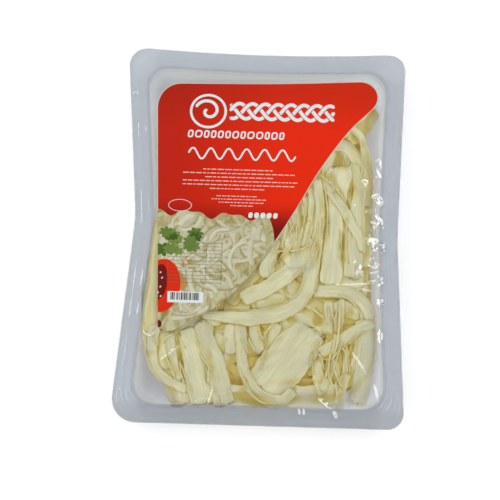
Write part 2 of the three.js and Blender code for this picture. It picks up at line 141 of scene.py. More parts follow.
# Rings round the pack, one for each inset: rounded rectangles, walked from the right end of the
# top right corner counter-clockwise, with the same number of points on each ring
def outlineRings(insets, cornerSteps, shortSteps, longSteps):
    insets = np.asarray(insets, float)[:, None]
    halfWidth, halfLength = pack["width"] / 2 - insets, pack["length"] / 2 - insets
    opened = np.clip(insets / pack["flangeWidth"], 0, 1)
    radii = [np.minimum(size + (pack["cavityCorner"] - size) * opened, halfWidth * 0.6)
             for size in pack["corners"]]
    xs, ys = [], []
    signs = [(1, 1), (-1, 1), (-1, -1), (1, -1)]
    for corner, (signX, signY) in enumerate(signs):
        radius, nextRadius = radii[corner], radii[(corner + 1) % 4]
        angle = (corner + np.arange(cornerSteps + 1) / cornerSteps) * math.pi / 2
        cornerX = signX * (halfWidth - radius) + radius * np.cos(angle)
        cornerY = signY * (halfLength - radius) + radius * np.sin(angle)
        nextX, nextY = signs[(corner + 1) % 4]
        turn = (corner + 1) * math.pi / 2
        toX = nextX * (halfWidth - nextRadius) + nextRadius * math.cos(turn)
        toY = nextY * (halfLength - nextRadius) + nextRadius * math.sin(turn)
        steps = shortSteps if corner % 2 == 0 else longSteps
        share = np.arange(1, steps) / steps
        xs += [cornerX, cornerX[:, -1:] + (toX - cornerX[:, -1:]) * share]
        ys += [cornerY, cornerY[:, -1:] + (toY - cornerY[:, -1:]) * share]
    return drawIn(np.hstack(xs), np.hstack(ys))


# The print's outline: straight left side, rounded top corners, a long slanted edge and a blunt tip
printCorners = {
    "leftTop": (-93, 107), "leftBottom": (-85.4, -75),
    "topLeft": (-74, 129.1), "topMiddle": (10, 131.2), "topRight": (79.6, 134.9),
    "slant": [(88.9, 109), (71.7, 91.6), (46.6, 56.2), (26.9, 21.2), (4.8, -14.2), (-17, -42.9),
              (-36, -60.2), (-72, -82)],
    # handles of the curves at the two top corners and at the tip
    "leftHandles": [(-93, 119.5), (-85, 128.2)], "rightHandles": [(92, 135.2), (102, 121)],
    "tipHandles": [(-79, -84.5), (-85, -81)],
}


# Cubic curve from a to d with the handles b and c: the four points weighed by (1 - t)^3,
# 3 t (1 - t)^2, 3 t^2 (1 - t) and t^3
def bezier(a, b, c, d, count):
    t = np.linspace(0, 1, count)[:, None]
    a, b, c, d = (np.array(point, float) for point in (a, b, c, d))
    return a * (1 - t) ** 3 + 3 * b * t * (1 - t) ** 2 + 3 * c * t * t * (1 - t) + d * t**3


# Centripetal Catmull-Rom through the points: on each stretch a cubic whose end slopes come from the
# neighbouring points, spaced by the square root of their distances. Resampled at even steps.
def smoothPath(points, step):
    points = np.array(points, float)
    ends = [2 * points[0] - points[1]], [2 * points[-1] - points[-2]]
    padded = np.concatenate([ends[0], points, ends[1]])
    a, b, c, d = padded[:-3], padded[1:-2], padded[2:-1], padded[3:]
    gaps = np.sqrt(np.linalg.norm(np.diff(padded, axis=0), axis=1))[:, None]
    before, here, after = gaps[:-2], gaps[1:-1], gaps[2:]
    slopeB = ((b - a) / before - (c - a) / (before + here) + (c - b) / here) * here
    slopeC = ((c - b) / here - (d - b) / (here + after) + (d - c) / after) * here
    t = np.linspace(0, 1, 24, endpoint=False)[None, :, None]
    b, c, slopeB, slopeC = (value[:, None] for value in (b, c, slopeB, slopeC))
    fine = (b * (1 + t * t * (2 * t - 3)) + slopeB * (t * (1 - t) ** 2)
            + c * (t * t * (3 - 2 * t)) + slopeC * (t * t * (t - 1)))
    fine = np.concatenate([fine.reshape(-1, points.shape[1]), points[-1:]])
    travelled = np.concatenate([[0], np.cumsum(np.linalg.norm(np.diff(fine, axis=0), axis=1))])
    count = max(6, int(round(travelled[-1] / step)) + 1)
    at = np.linspace(0, travelled[-1], count)
    path = np.stack([np.interp(at, travelled, fine[:, k]) for k in range(points.shape[1])], axis=1)
    slope = np.gradient(path, axis=0)
    slope /= np.linalg.norm(slope[:, :2], axis=1)[:, None]
    return path, slope, at


# The print's outline as points, from the curves between its corners
def printOutline():
    p = printCorners
    topLeft = bezier(p["leftTop"], *p["leftHandles"], p["topLeft"], 14)
    top, _, _ = smoothPath([p["topLeft"], p["topMiddle"], p["topRight"]], 4)
    topRight = bezier(p["topRight"], *p["rightHandles"], p["slant"][0], 18)
    slanted, _, _ = smoothPath(p["slant"], 3)
    tip = bezier(p["slant"][-1], *p["tipHandles"], p["leftBottom"], 12)
    left = np.linspace(p["leftBottom"], p["leftTop"], 40)
    return np.concatenate([topLeft[:-1], top[:-1], topRight[:-1], slanted[:-1], tip[:-1], left[:-1]])[::-1]


labelOutline = printOutline()  # counter-clockwise from above


# Distance from each point to a closed outline, below 0 inside it
def distanceTo(outline, x, y):
    x, y = np.asarray(x, float), np.asarray(y, float)
    a, b = outline, np.roll(outline, -1, axis=0)
    nearest, crossings = np.full(x.shape, 1e9), np.zeros(x.shape, int)
    for (ax, ay), (bx, by) in zip(a, b):
        dx, dy = bx - ax, by - ay
        along = np.clip(((x - ax) * dx + (y - ay) * dy) / max(dx * dx + dy * dy, 1e-9), 0, 1)
        nearest = np.minimum(nearest, np.hypot(x - ax - along * dx, y - ay - along * dy))
        if ay != by:
            crossings += ((ay > y) != (by > y)) & (x < (bx - ax) * (y - ay) / (by - ay) + ax)
    return np.where(crossings % 2 == 1, -nearest, nearest)


# Top of the film: level on the flange and under the print, and drawn down elsewhere
filmShape = {
    "rest": (1.3, 3, 30),  # depth beside the print, reached between these distances from it
    "dips": [(92, 15, 12, 62, 1.4), (-88, -131, 15, 13, 0.8), (88, -138, 16, 12, 0.7)],  # x, y, reach, depth
}


# The film's level less its depth beside the print, and less a soft hollow
# depth x exp(-(dx / reach)^2 - (dy / reach)^2) for each of its dips
def filmLevel(x, y):
    away = np.maximum(0, distanceTo(labelOutline, x, y))
    depth, start, end = filmShape["rest"]
    dips = sum(
        dip * np.exp(-(((x - atX) / reachX) ** 2) - ((y - atY) / reachY) ** 2)
        for atX, atY, reachX, reachY, dip in filmShape["dips"]
    )
    return pack["filmTop"] - depth * smoothStep(away, start, end) - dips * smoothStep(away, 0, 8)


# Meshes

# One mesh from points in millimetres and groups of faces, each group with its own count of corners
def addMesh(name, points, faceGroups, smooth=True):
    mesh = bpy.data.meshes.new(name)
    corners = np.concatenate([np.asarray(group).ravel() for group in faceGroups])
    sizes = np.concatenate([np.full(len(group), len(group[0])) for group in faceGroups])
    mesh.vertices.add(len(points))
    mesh.vertices.foreach_set("co", (np.asarray(points) * mm).astype(np.float32).ravel())
    mesh.loops.add(len(corners))
    mesh.loops.foreach_set("vertex_index", corners.astype(np.int32))
    mesh.polygons.add(len(sizes))
    mesh.polygons.foreach_set("loop_start", np.concatenate([[0], np.cumsum(sizes)[:-1]]).astype(np.int32))
    mesh.polygons.foreach_set("use_smooth", np.full(len(sizes), smooth))
    mesh.update(calc_edges=True)
    piece = bpy.data.objects.new(name, mesh)
    bpy.context.scene.collection.objects.link(piece)
    return piece


# Quads between neighbouring rings of a grid of rings x count points, closed round each ring
def ringFaces(rings, count, first=0):
    ring = np.arange(rings - 1)[:, None] * count + first
    here, after = np.arange(count), (np.arange(count) + 1) % count
    sides = [ring + here, ring + after, ring + count + after, ring + count + here]
    return np.stack(sides, axis=-1).reshape(-1, 4)


# One flat face over the first ring and one over the last
def ringCaps(rings, count, first=0):
    return [first + np.arange(count)[None], first + (rings - 1) * count + np.arange(count)[None, ::-1]]


# One value for each vertex, under a name that the materials read
def addValues(piece, name, values):
    layer = piece.data.attributes.new(name, "FLOAT", "POINT")
    layer.data.foreach_set("value", np.asarray(values, np.float32).ravel())


# A map of two lengths for each vertex, handed to the loops
def addMap(piece, name, across, along):
    layer = piece.data.uv_layers.new(name=name)
    loops = np.empty(len(piece.data.loops), np.int32)
    piece.data.loops.foreach_get("vertex_index", loops)
    layer.data.foreach_set("uv", np.stack([across[loops], along[loops]], axis=1).astype(np.float32).ravel())


# Closed bands: each a stack of rings of (x, y, z), with one tone for each place round the ring
def addBands(name, bands, smooth=False):
    points, faces, caps, tones, first = [], [], [], [], 0
    for rings, tone in bands:
        count = rings.shape[1]
        points.append(rings.reshape(-1, 3))
        faces.append(ringFaces(len(rings), count, first)[:, ::-1])
        caps += ringCaps(len(rings), count, first)
        tones.append(np.tile(tone, len(rings)))
        first += len(rings) * count
    piece = addMesh(name, np.concatenate(points), [np.concatenate(faces), *caps], smooth=smooth)
    addValues(piece, "tone", np.concatenate(tones))
    return piece


# Gives a piece its material and says what it rides on and which node it replaces
def finishPiece(piece, material, node):
    piece.data.materials.append(material)
    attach(piece, "root")
    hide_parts(node)
    bpy.context.view_layer.update()
    triangles = sum(len(face.vertices) - 2 for face in piece.data.polygons)
    print(piece.name, triangles, "triangles")


# Materials

# An empty node group with its inputs (name, kind, start value) and outputs (name, kind)
def newGroup(name, inputs, outputs):
    group = bpy.data.node_groups.new(name, "ShaderNodeTree")
    for label, kind, start in inputs:
        socket = group.interface.new_socket(label, in_out="INPUT", socket_type="NodeSocket" + kind)
        if start is not None:
            socket.default_value = start
    for label, kind in outputs:
        group.interface.new_socket(label, in_out="OUTPUT", socket_type="NodeSocket" + kind)
    return group, group.nodes.new("NodeGroupInput"), group.nodes.new("NodeGroupOutput")


# Sets a node's own values first, then links the outputs that feed it
def setSockets(tree, node, links, values):
    for key, value in (values or {}).items():
        node.inputs[key].default_value = value
    for key, source in (links or {}).items():
        tree.links.new(source, node.inputs[key])
    return node


# A node with its settings, its own socket values and the outputs that feed it
def addNode(tree, kind, links=None, values=None, **settings):
    node = tree.nodes.new("ShaderNode" + kind)
    for key, value in settings.items():
        setattr(node, key, value)
    return setSockets(tree, node, links, values)


# A node that uses a group, with its values
def useGroup(tree, group, values):
    node = tree.nodes.new("ShaderNodeGroup")
    node.node_tree = group
    return setSockets(tree, node, None, values)


# One sum on numbers or outputs: a and b under the operation
def addMath(tree, operation, a, b):
    node = tree.nodes.new("ShaderNodeMath")
    node.operation = operation
    for place, value in enumerate((a, b)):
        if isinstance(value, (int, float)):
            node.inputs[place].default_value = value
        else:
            tree.links.new(value, node.inputs[place])
    return node.outputs[0]


# a + b
def plus(tree, a, b):
    return addMath(tree, "ADD", a, b)


# a x b
def times(tree, a, b):
    return addMath(tree, "MULTIPLY", a, b)


# a x (1 - factor) + b x factor
def mixColours(tree, factor, a, b):
    node = tree.nodes.new("ShaderNodeMix")
    node.data_type = "RGBA"
    sockets = {s.identifier: s for s in node.inputs}
    for identifier, value in (("Factor_Float", factor), ("A_Color", a), ("B_Color", b)):
        if isinstance(value, (int, float, tuple)):
            sockets[identifier].default_value = value
        else:
            tree.links.new(value, sockets[identifier])
    return next(s for s in node.outputs if s.identifier == "Result_Color")


# colour x factor
def scaleColour(tree, colour, factor):
    return addNode(tree, "VectorMath", {0: colour, "Scale": factor}, operation="SCALE").outputs["Vector"]


# The value that a piece carries under a name
def attributeOf(tree, name):
    return addNode(tree, "Attribute", attribute_name=name).outputs["Fac"]


# The place in the pack's frame, in metres
def placeOf(tree):
    return addNode(tree, "TexCoord").outputs["Object"]


# Noise of 0 to 1 on a vector that is stretched first
def noiseOn(tree, vector, stretch, **values):
    drawn = addNode(tree, "Mapping", {"Vector": vector}, {"Scale": stretch}).outputs[0]
    sockets = {"Scale": 1.0, **{name.capitalize(): value for name, value in values.items()}}
    return addNode(tree, "TexNoise", {"Vector": drawn}, sockets).outputs["Fac"]


# Share of the way from low to high, eased at both ends
def stepOn(tree, value, low, high):
    return addNode(tree, "MapRange", {"Value": value}, {"From Min": low, "From Max": high},
                   interpolation_type="SMOOTHSTEP").outputs["Result"]


# An empty material and its node tree
def newMaterial(name):
    material = bpy.data.materials.new(name)
    material.use_nodes = True
    material.node_tree.nodes.clear()
    return material, material.node_tree


# Hands the shader to the material's surface
def finishMaterial(tree, shader):
    addNode(tree, "OutputMaterial", {"Surface": shader.outputs[0]})


# sRGB 0 to 255 as shown, to the linear values that the sockets take
def shown(red, green, blue):
    values = np.array([red, green, blue]) / 255
    linear = np.where(values <= 0.04045, values / 12.92, ((values + 0.055) / 1.055) ** 2.4)
    return (*(float(value) for value in linear), 1.0)


# Colour of the cheese: cream with fine streaks along the strand, and painted shade: yellower and darker along
# its edges and beside higher strands, and deeper in tone where a strand lies low between others
def cheeseColourGroup():
    group, given, result = newGroup(
        "cheeseColour",
        [("Cream", "Color", None), ("RimShade", "Color", None), ("Deep", "Color", None), ("Low", "Color", None),
         ("Streaks", "Float", 0.2)],
        [("Color", "Color"), ("PaintedGlow", "Float")])
    given = given.outputs
    strand = addNode(group, "UVMap", uv_map="strand").outputs["UV"]
    tone, sunk, rimShade = (attributeOf(group, name) for name in ("tone", "sunk", "rimShade"))
    streak = noiseOn(group, strand, (1.1, 0.035, 1), detail=4.0, roughness=0.6, distortion=0.25)
    cloud = noiseOn(group, strand, (0.11, 0.03, 1), detail=2.0)
    # brightness = 1 + tone + streaks x (streak + cloud - 1)
    centred = addMath(group, "SUBTRACT", plus(group, streak, cloud), 1.0)
    bright = plus(group, plus(group, times(group, centred, given["Streaks"]), tone), 1.0)
    cream = scaleColour(group, mixColours(group, rimShade, given["Cream"], given["RimShade"]), bright)
    deeper = mixColours(group, stepOn(group, sunk, 0.10, 0.5), cream, given["Deep"])
    lowest = mixColours(group, stepOn(group, sunk, 0.48, 1.0), deeper, given["Low"])
    group.links.new(lowest, result.inputs["Color"])
    # painted glow: a share taken from the painted shade values, standing in for light that reaches a hidden
    # place through the cheese round it
    glowShare = plus(group, times(group, rimShade, 0.8), times(group, sunk, 1.2))
    group.links.new(glowShare, result.inputs["PaintedGlow"])
    return group


# Relief of pulled fibres: noise drawn out along the strand, at two widths
def fibreReliefGroup():
    group, given, result = newGroup(
        "fibreRelief", [("Fine", "Float", 1.0), ("Broad", "Float", 1.0)], [("Height", "Float")])
    strand = addNode(group, "UVMap", uv_map="strand").outputs["UV"]
    heights = [times(group, noiseOn(group, strand, stretch, detail=3.0, distortion=0.3), given.outputs[label])
               for stretch, label in (((1.5, 0.05, 1), "Fine"), ((0.45, 0.03, 1), "Broad"))]
    group.links.new(plus(group, *heights), result.inputs["Height"])
    return group


cheeseColour = cheeseColourGroup()
fibreRelief = fibreReliefGroup()


# Cheese: its colour, with a painted glow of glow x the share of hidden light, over a relief of fibres
def cheeseMaterial(name, cream, rimShade, deep, low, streaks, glow, bump, roughness):
    material, tree = newMaterial(name)
    colour = useGroup(tree, cheeseColour, {
        "Cream": cream, "RimShade": rimShade, "Deep": deep, "Low": low, "Streaks": streaks})
    relief = useGroup(tree, fibreRelief, {"Fine": 0.35, "Broad": 1.0})
    raised = addNode(tree, "Bump", {"Height": relief.outputs["Height"]},
                     {"Strength": bump, "Distance": 0.6 * mm})
    surface = addNode(tree, "BsdfPrincipled",
                      {"Base Color": colour.outputs["Color"], "Emission Color": colour.outputs["Color"],
                       "Emission Strength": times(tree, colour.outputs["PaintedGlow"], glow),
                       "Normal": raised.outputs["Normal"]},
                      {"Roughness": roughness, "Subsurface Weight": 0.4, "Subsurface Scale": 2.2 * mm,
                       "Subsurface Radius": (1.0, 0.78, 0.4), "Coat Weight": 0.12, "Coat Roughness": 0.25})
    finishMaterial(tree, surface)
    material.cycles.emission_sampling = "NONE"  # its faint glow isn't searched as a lamp
    return material


# Clear sheet: part of the light goes through, the rest shows the sheet's own grey. Where the sheet is
# drawn into the cavity it is thinner: clearer and paler, with a painted glow. The rim at the near end is a
# little darker: painted shade.
# The ribs value adds painted light and shade to the colour.
def sheetMaterial(name, colour, drawnColour, nearShade, alpha, drawnAlpha, roughness, bump, glow, paintedShading):
    material, tree = newMaterial(name)
    place = placeOf(tree)
    noise = noiseOn(tree, place, (90, 90, 90), detail=2.0)
    raised = addNode(tree, "Bump", {"Height": noise}, {"Strength": bump, "Distance": 1.0 * mm})
    thinned = attributeOf(tree, "drawn")
    near = stepOn(tree, addNode(tree, "SeparateXYZ", {0: place}).outputs["Y"], -0.138, -0.148)
    flange = addNode(tree, "VectorMath", {0: mixColours(tree, near, (1, 1, 1, 1), nearShade)},
                     {1: colour[:3]}, operation="MULTIPLY")
    shade = plus(tree, times(tree, attributeOf(tree, "ribs"), paintedShading), 1.0)
    tint = scaleColour(tree, mixColours(tree, thinned, flange.outputs["Vector"], drawnColour), shade)
    cover = addNode(tree, "MapRange", {"Value": thinned}, {"To Min": alpha, "To Max": drawnAlpha})
    surface = addNode(tree, "BsdfPrincipled",
                      {"Base Color": tint, "Alpha": cover.outputs["Result"], "Emission Color": tint,
                       "Normal": raised.outputs["Normal"], "Emission Strength": times(tree, thinned, glow)},
                      {"Roughness": roughness, "IOR": 1.5})
    finishMaterial(tree, surface)
    material.cycles.emission_sampling = "NONE"
    return material


# Clear film: a mirror by Fresnel over a body that is clear where it lies on the cheese and hazy
# where it stands off it. The haze is partly the film's own and partly a painted reflection.
def filmMaterial(name, hazeSheenColour, hazeSheenAmount, roughness, bump, crumpleBump, ior, mirrorGain):
    material, tree = newMaterial(name)
    place = placeOf(tree)
    noise = noiseOn(tree, place, (260, 260, 260), detail=2.0)
    folds = noiseOn(tree, place, (420, 640, 500), detail=1.0, distortion=1.0)
    crumpled = times(tree, attributeOf(tree, "crumple"), crumpleBump)
    height = plus(tree, times(tree, noise, bump), times(tree, folds, crumpled))
    raised = addNode(tree, "Bump", {"Height": height}, {"Strength": 1.0, "Distance": 1.0 * mm})
    clear = addNode(tree, "BsdfTransparent", values={"Color": (0.985, 0.985, 0.985, 1)})
    hazySheen = addNode(tree, "BsdfPrincipled", values={"Base Color": hazeSheenColour, "Roughness": 0.5})
    mirror = addNode(tree, "BsdfGlossy", {"Normal": raised.outputs["Normal"]},
                     {"Color": (1, 1, 1, 1), "Roughness": roughness})
    body = addNode(tree, "MixShader", {0: times(tree, attributeOf(tree, "hazeSheenShare"), hazeSheenAmount),
                                       1: clear.outputs[0], 2: hazySheen.outputs[0]})
    # only the outer face mirrors: the inner one would throw slanting light back by its full reflection
    edge = addNode(tree, "Fresnel", {"Normal": raised.outputs["Normal"]}, {"IOR": ior})
    inner = addNode(tree, "NewGeometry").outputs["Backfacing"]
    # the gain is given: it makes up for the other face of the film and for its seal layer
    both = addMath(tree, "MINIMUM", times(tree, edge.outputs[0], mirrorGain), 1.0)
    share = times(tree, both, addMath(tree, "SUBTRACT", 1.0, inner))
    finishMaterial(tree, addNode(tree, "MixShader", {0: share, 1: body.outputs[0], 2: mirror.outputs[0]}))
    return material


# Tray: one sheet, pressed into a cavity with rounded corners and a wide flange with two seal lines

tray = {
    "cornerSteps": 22, "shortSteps": 60, "longSteps": 84,
    "ledgeDrop": 1.2, "ledgeChamfer": 0.8, "ledgeWidth": 0.8, "ledgeFall": 0.1,
    "draft": 1.6, "floorRadius": 4.2, "wallFoot": 17.5,  # wallFoot: inset where the sheet is fully drawn
    "grooves": (4.8, 11), "grooveDepth": 0.35, "grooveHalfWidth": 0.9,
    # the waves and the line are painted on the sheet's colour: light and dark stripes for the ribs and a dark
    # line of shade where the cavity begins
    "waves": [(1.3, 3.4), (0.7, 1.9)],  # ribs along the flange: strength and wavelength
    "line": (2.4, 0.6),  # dark line where the cavity begins: strength and reach
}
trayLook = {
    "colour": shown(168, 178, 190), "drawnColour": shown(205, 208, 212), "alpha": 0.42, "drawnAlpha": 0.5,
    # nearShade is painted shade at the near end, and the rib strength scales painted light and shade
    "nearShade": (0.66, 0.68, 0.69, 1), "paintedShading": 0.15, "roughness": 0.22, "bump": 0.06,
    # painted glow: the drawn sheet gives off its own colour, standing in for light carried along inside it
    "glow": 0.24,  # light carried along inside the clear sheet
}


# Inside of the cavity as (inset, height): floor edge, a quarter ellipse up into the wall, the wall,
# and the ledge below the flange
def cavityLine():
    top, sheet = pack["flangeTop"], pack["sheet"]
    ledge = pack["flangeWidth"] + tray["ledgeChamfer"]
    wallTop = ledge + tray["ledgeWidth"]
    wallFoot = wallTop + tray["draft"]
    turn = np.linspace(0, math.pi / 2, 9)
    radius = tray["floorRadius"]
    curve = np.stack([wallFoot + 1.5 * radius * (1 - np.sin(turn)),
                      sheet + radius * (1 - np.cos(turn))], axis=1)
    level = top - tray["ledgeDrop"]
    wall = np.linspace([wallFoot, sheet + radius], [wallTop, level - tray["ledgeFall"]], 8)
    rest = [[ledge, level], [ledge - 0.25, level + 0.25], [pack["flangeWidth"] + 0.2, top - 0.2],
            [pack["flangeWidth"], top]]
    return np.concatenate([curve, wall[1:], rest])


# The tray: its profile as (inset, height), from the cavity's inside over the flange and back along
# the underside, carried round as rings. The underside is the inside moved by the sheet's thickness.
def makeTray():
    inside = cavityLine()
    top, sheet = pack["flangeTop"], pack["sheet"]
    flange = np.linspace(pack["flangeWidth"], 0.35, 80)[1:]
    dips = sum(tray["grooveDepth"] * np.maximum(0, 1 - np.abs(flange - at) / tray["grooveHalfWidth"])
               for at in tray["grooves"])
    upper = np.stack([flange, top - dips], axis=1)
    edge = np.array([[0.08, top - 0.1], [0, top - sheet / 2], [0.08, top - sheet + 0.1]])
    lower = np.stack([flange, np.full(len(flange), top - sheet)], axis=1)[::-1][::4]
    shifted = inside + np.array([-sheet, -sheet])
    shifted[:, 1] = np.maximum(shifted[:, 1], 0)
    profile = np.concatenate([inside, upper, edge, lower, shifted[::-1]])
    x, y = outlineRings(profile[:, 0], tray["cornerSteps"], tray["shortSteps"], tray["longSteps"])
    count = x.shape[1]
    z = np.repeat(profile[:, 1:], count, axis=1)
    points = np.stack([x, y, z], axis=-1).reshape(-1, 3)
    rings = len(profile)
    faces = ringFaces(rings, count)
    caps = np.stack([np.arange(count)[::-1], (rings - 1) * count + np.arange(count)])
    piece = addMesh("traySheet", points, [faces[:, ::-1], caps[:, ::-1]])
    begin, foot = pack["flangeWidth"], tray["wallFoot"]
    addValues(piece, "drawn", np.repeat(smoothStep(profile[:, 0], begin + 0.5, foot), count))
    # painted light and shade: light and dark stripes for the fine ribs along the flange, clearer at the near
    # end, and a dark line of painted shade where the cavity begins
    inset = np.repeat(profile[:, :1], count, axis=1)
    wave = sum(strength * np.cos(inset * 2 * math.pi / length) for strength, length in tray["waves"])
    ribs = wave * smoothStep(inset, 0.5, 1.5) * (1 - smoothStep(inset, 13, 14))
    ribs = ribs * (1 - 0.75 * smoothStep(y, -140, -125))
    # painted light where the wall at the right and at the far right end faces the light, painted shade in the
    # near left corner
    shade = 0.9 * smoothStep(x, 55, 100) + 0.9 * smoothStep(y, 122, 135) * smoothStep(x, -20, 60)
    shade -= (1 - smoothStep(x, -100, -60)) * (1 - smoothStep(y, -130, -100))
    ribs += shade * smoothStep(inset, begin + 1, foot)
    strength, reach = tray["line"]
    addValues(piece, "ribs", ribs - strength * bell(inset, begin + 0.5, reach))
    piece.data.set_sharp_from_angle(angle=math.radians(50))
    return piece


traySheet = makeTray()
finishPiece(traySheet, sheetMaterial("clearTray", **trayLook), "tray")


# Cheese: a low core, strands strewn over it by a seeded draw, and on top the strands that show

heap = {
    "halfWidth": 100, "halfLength": 139, "squareness": 7,
    "base": 2.6, "top": 5.2, "bump": 1.3,
    "cell": 1.5, "gridHalf": (122, 162), "floor": 1.0, "belowFilm": 0.8,
    "turnUp": (24.1, 6.3, 4.0),  # the cavity's floor turns up into the wall: its inset, reach and rise
    "farEdge": 121, "rightEdge": (92, 12),  # strewn strands stay inside these, the right one drawn in by 12
    "bare": [(-103, -146, 22, 34), (103, 146, 16, 60), (104, -146, 16, 14)],  # corners with no cheese
}


# Share of the way from the middle of the heap to its rounded outline: 1 on the outline
def reachInHeap(x, y):
    power = heap["squareness"]
    across, along = np.abs(x) / heap["halfWidth"], np.abs(y) / heap["halfLength"]
    return (across**power + along**power) ** (1 / power)


# Top of the core: top + bump x sin(x / 13 + sway of y) x cos(y / 17 + sway of x)
def coreTop(x, y):
    roll = np.sin(x / 13 + 1.3 * np.sin(y / 21)) * np.cos(y / 17 + 0.8 * np.sin(x / 19))
    return heap["top"] + heap["bump"] * roll


# How far a point lies behind the straight line along the print's slanted edge
def behindSlant(x, y):
    (startX, startY), (endX, endY) = printCorners["slant"][0], printCorners["slant"][-1]
    length = math.hypot(startX - endX, startY - endY)
    return ((startX - x) * (startY - endY) + (y - startY) * (startX - endX)) / length


# Inset of places from the pack's edge
def insetAt(x, y):
    return -distanceTo(np.column_stack([side[0] for side in outlineRings([0], 12, 20, 30)]), x, y)


# Height map of the heap, which each strand is laid on and then added to. It starts as the floor of
# the cavity, turned up like a quarter ellipse beside the wall: floor + rise x (1 - root(1 - share^2)).
cell, (edgeX, edgeY) = heap["cell"], heap["gridHalf"]
columns, rows = int(2 * edgeX / cell), int(2 * edgeY / cell)
gridX, gridY = np.meshgrid((np.arange(columns) + 0.5) * cell - edgeX, (np.arange(rows) + 0.5) * cell - edgeY)
ceiling = filmLevel(gridX, gridY) - heap["belowFilm"]
turnInset, turnReach, turnRise = heap["turnUp"]
turnUp = np.clip((turnInset - insetAt(gridX, gridY)) / turnReach, 0, 1)
heights = heap["floor"] + turnRise * (1 - np.sqrt(1 - turnUp**2 * 0.99))


# Row and column of the height map's cell that holds a place
def cellsAt(x, y):
    column = np.clip(((x + edgeX) / cell).astype(int), 0, columns - 1)
    return np.clip(((y + edgeY) / cell).astype(int), 0, rows - 1), column


# Slow unevenness along a length: three sines with drawn phases, between about -1 and 1
def sway(draw, along, wavelength):
    phases = draw.uniform(0, 2 * math.pi, 3)
    waves = [np.sin(2 * math.pi * along / (wavelength * k) + p) for k, p in zip((1, 0.61, 0.37), phases)]
    return (waves[0] + 0.6 * waves[1] + 0.35 * waves[2]) / 1.6


# Mean of the four neighbours of each value, with the border repeated
def neighbourMean(values):
    padded = np.pad(values, 1, mode="edge")
    return (padded[2:, 1:-1] + padded[:-2, 1:-1] + padded[1:-1, 2:] + padded[1:-1, :-2]) / 4


strandStyle = {
    "step": 1.2, "across": 0.6, "fewest": 9, "most": 54, "sag": 0.11, "sweeps": 44,
    "sink": 0.25,  # depth by which a strand is pressed into what it lies on
    "flatten": 0.52, "widen": 1.04, "edge": 1.0, "ribs": 0.2, "torn": 0.3, "ragged": 1.5,
    "blunt": 2.2, "melt": 0,  # reach of the rounding of the ends, and of their melting into the rest
    "swell": (0.05, 0.6), "stray": (0.04, 0.5),  # share of the width and most, in millimetres
}


# Fine relief of a strand: fibres at drawn places across it, each of its own width and height, that
# meander along it and fade in and out
def strandFibres(draw, across, along, width, height):
    relief = np.zeros_like(across)
    for _ in range(int(np.clip(width / 1.7, 3, 16))):
        at = draw.uniform(-0.5, 0.5) * width + 0.5 * sway(draw, along, 60)
        strength = height * draw.uniform(-1, 1) * (0.65 + 0.5 * sway(draw, along, 33))
        relief += strength[:, None] * np.exp(-(((across - at[:, None]) / draw.uniform(0.35, 0.95)) ** 2))
    return relief


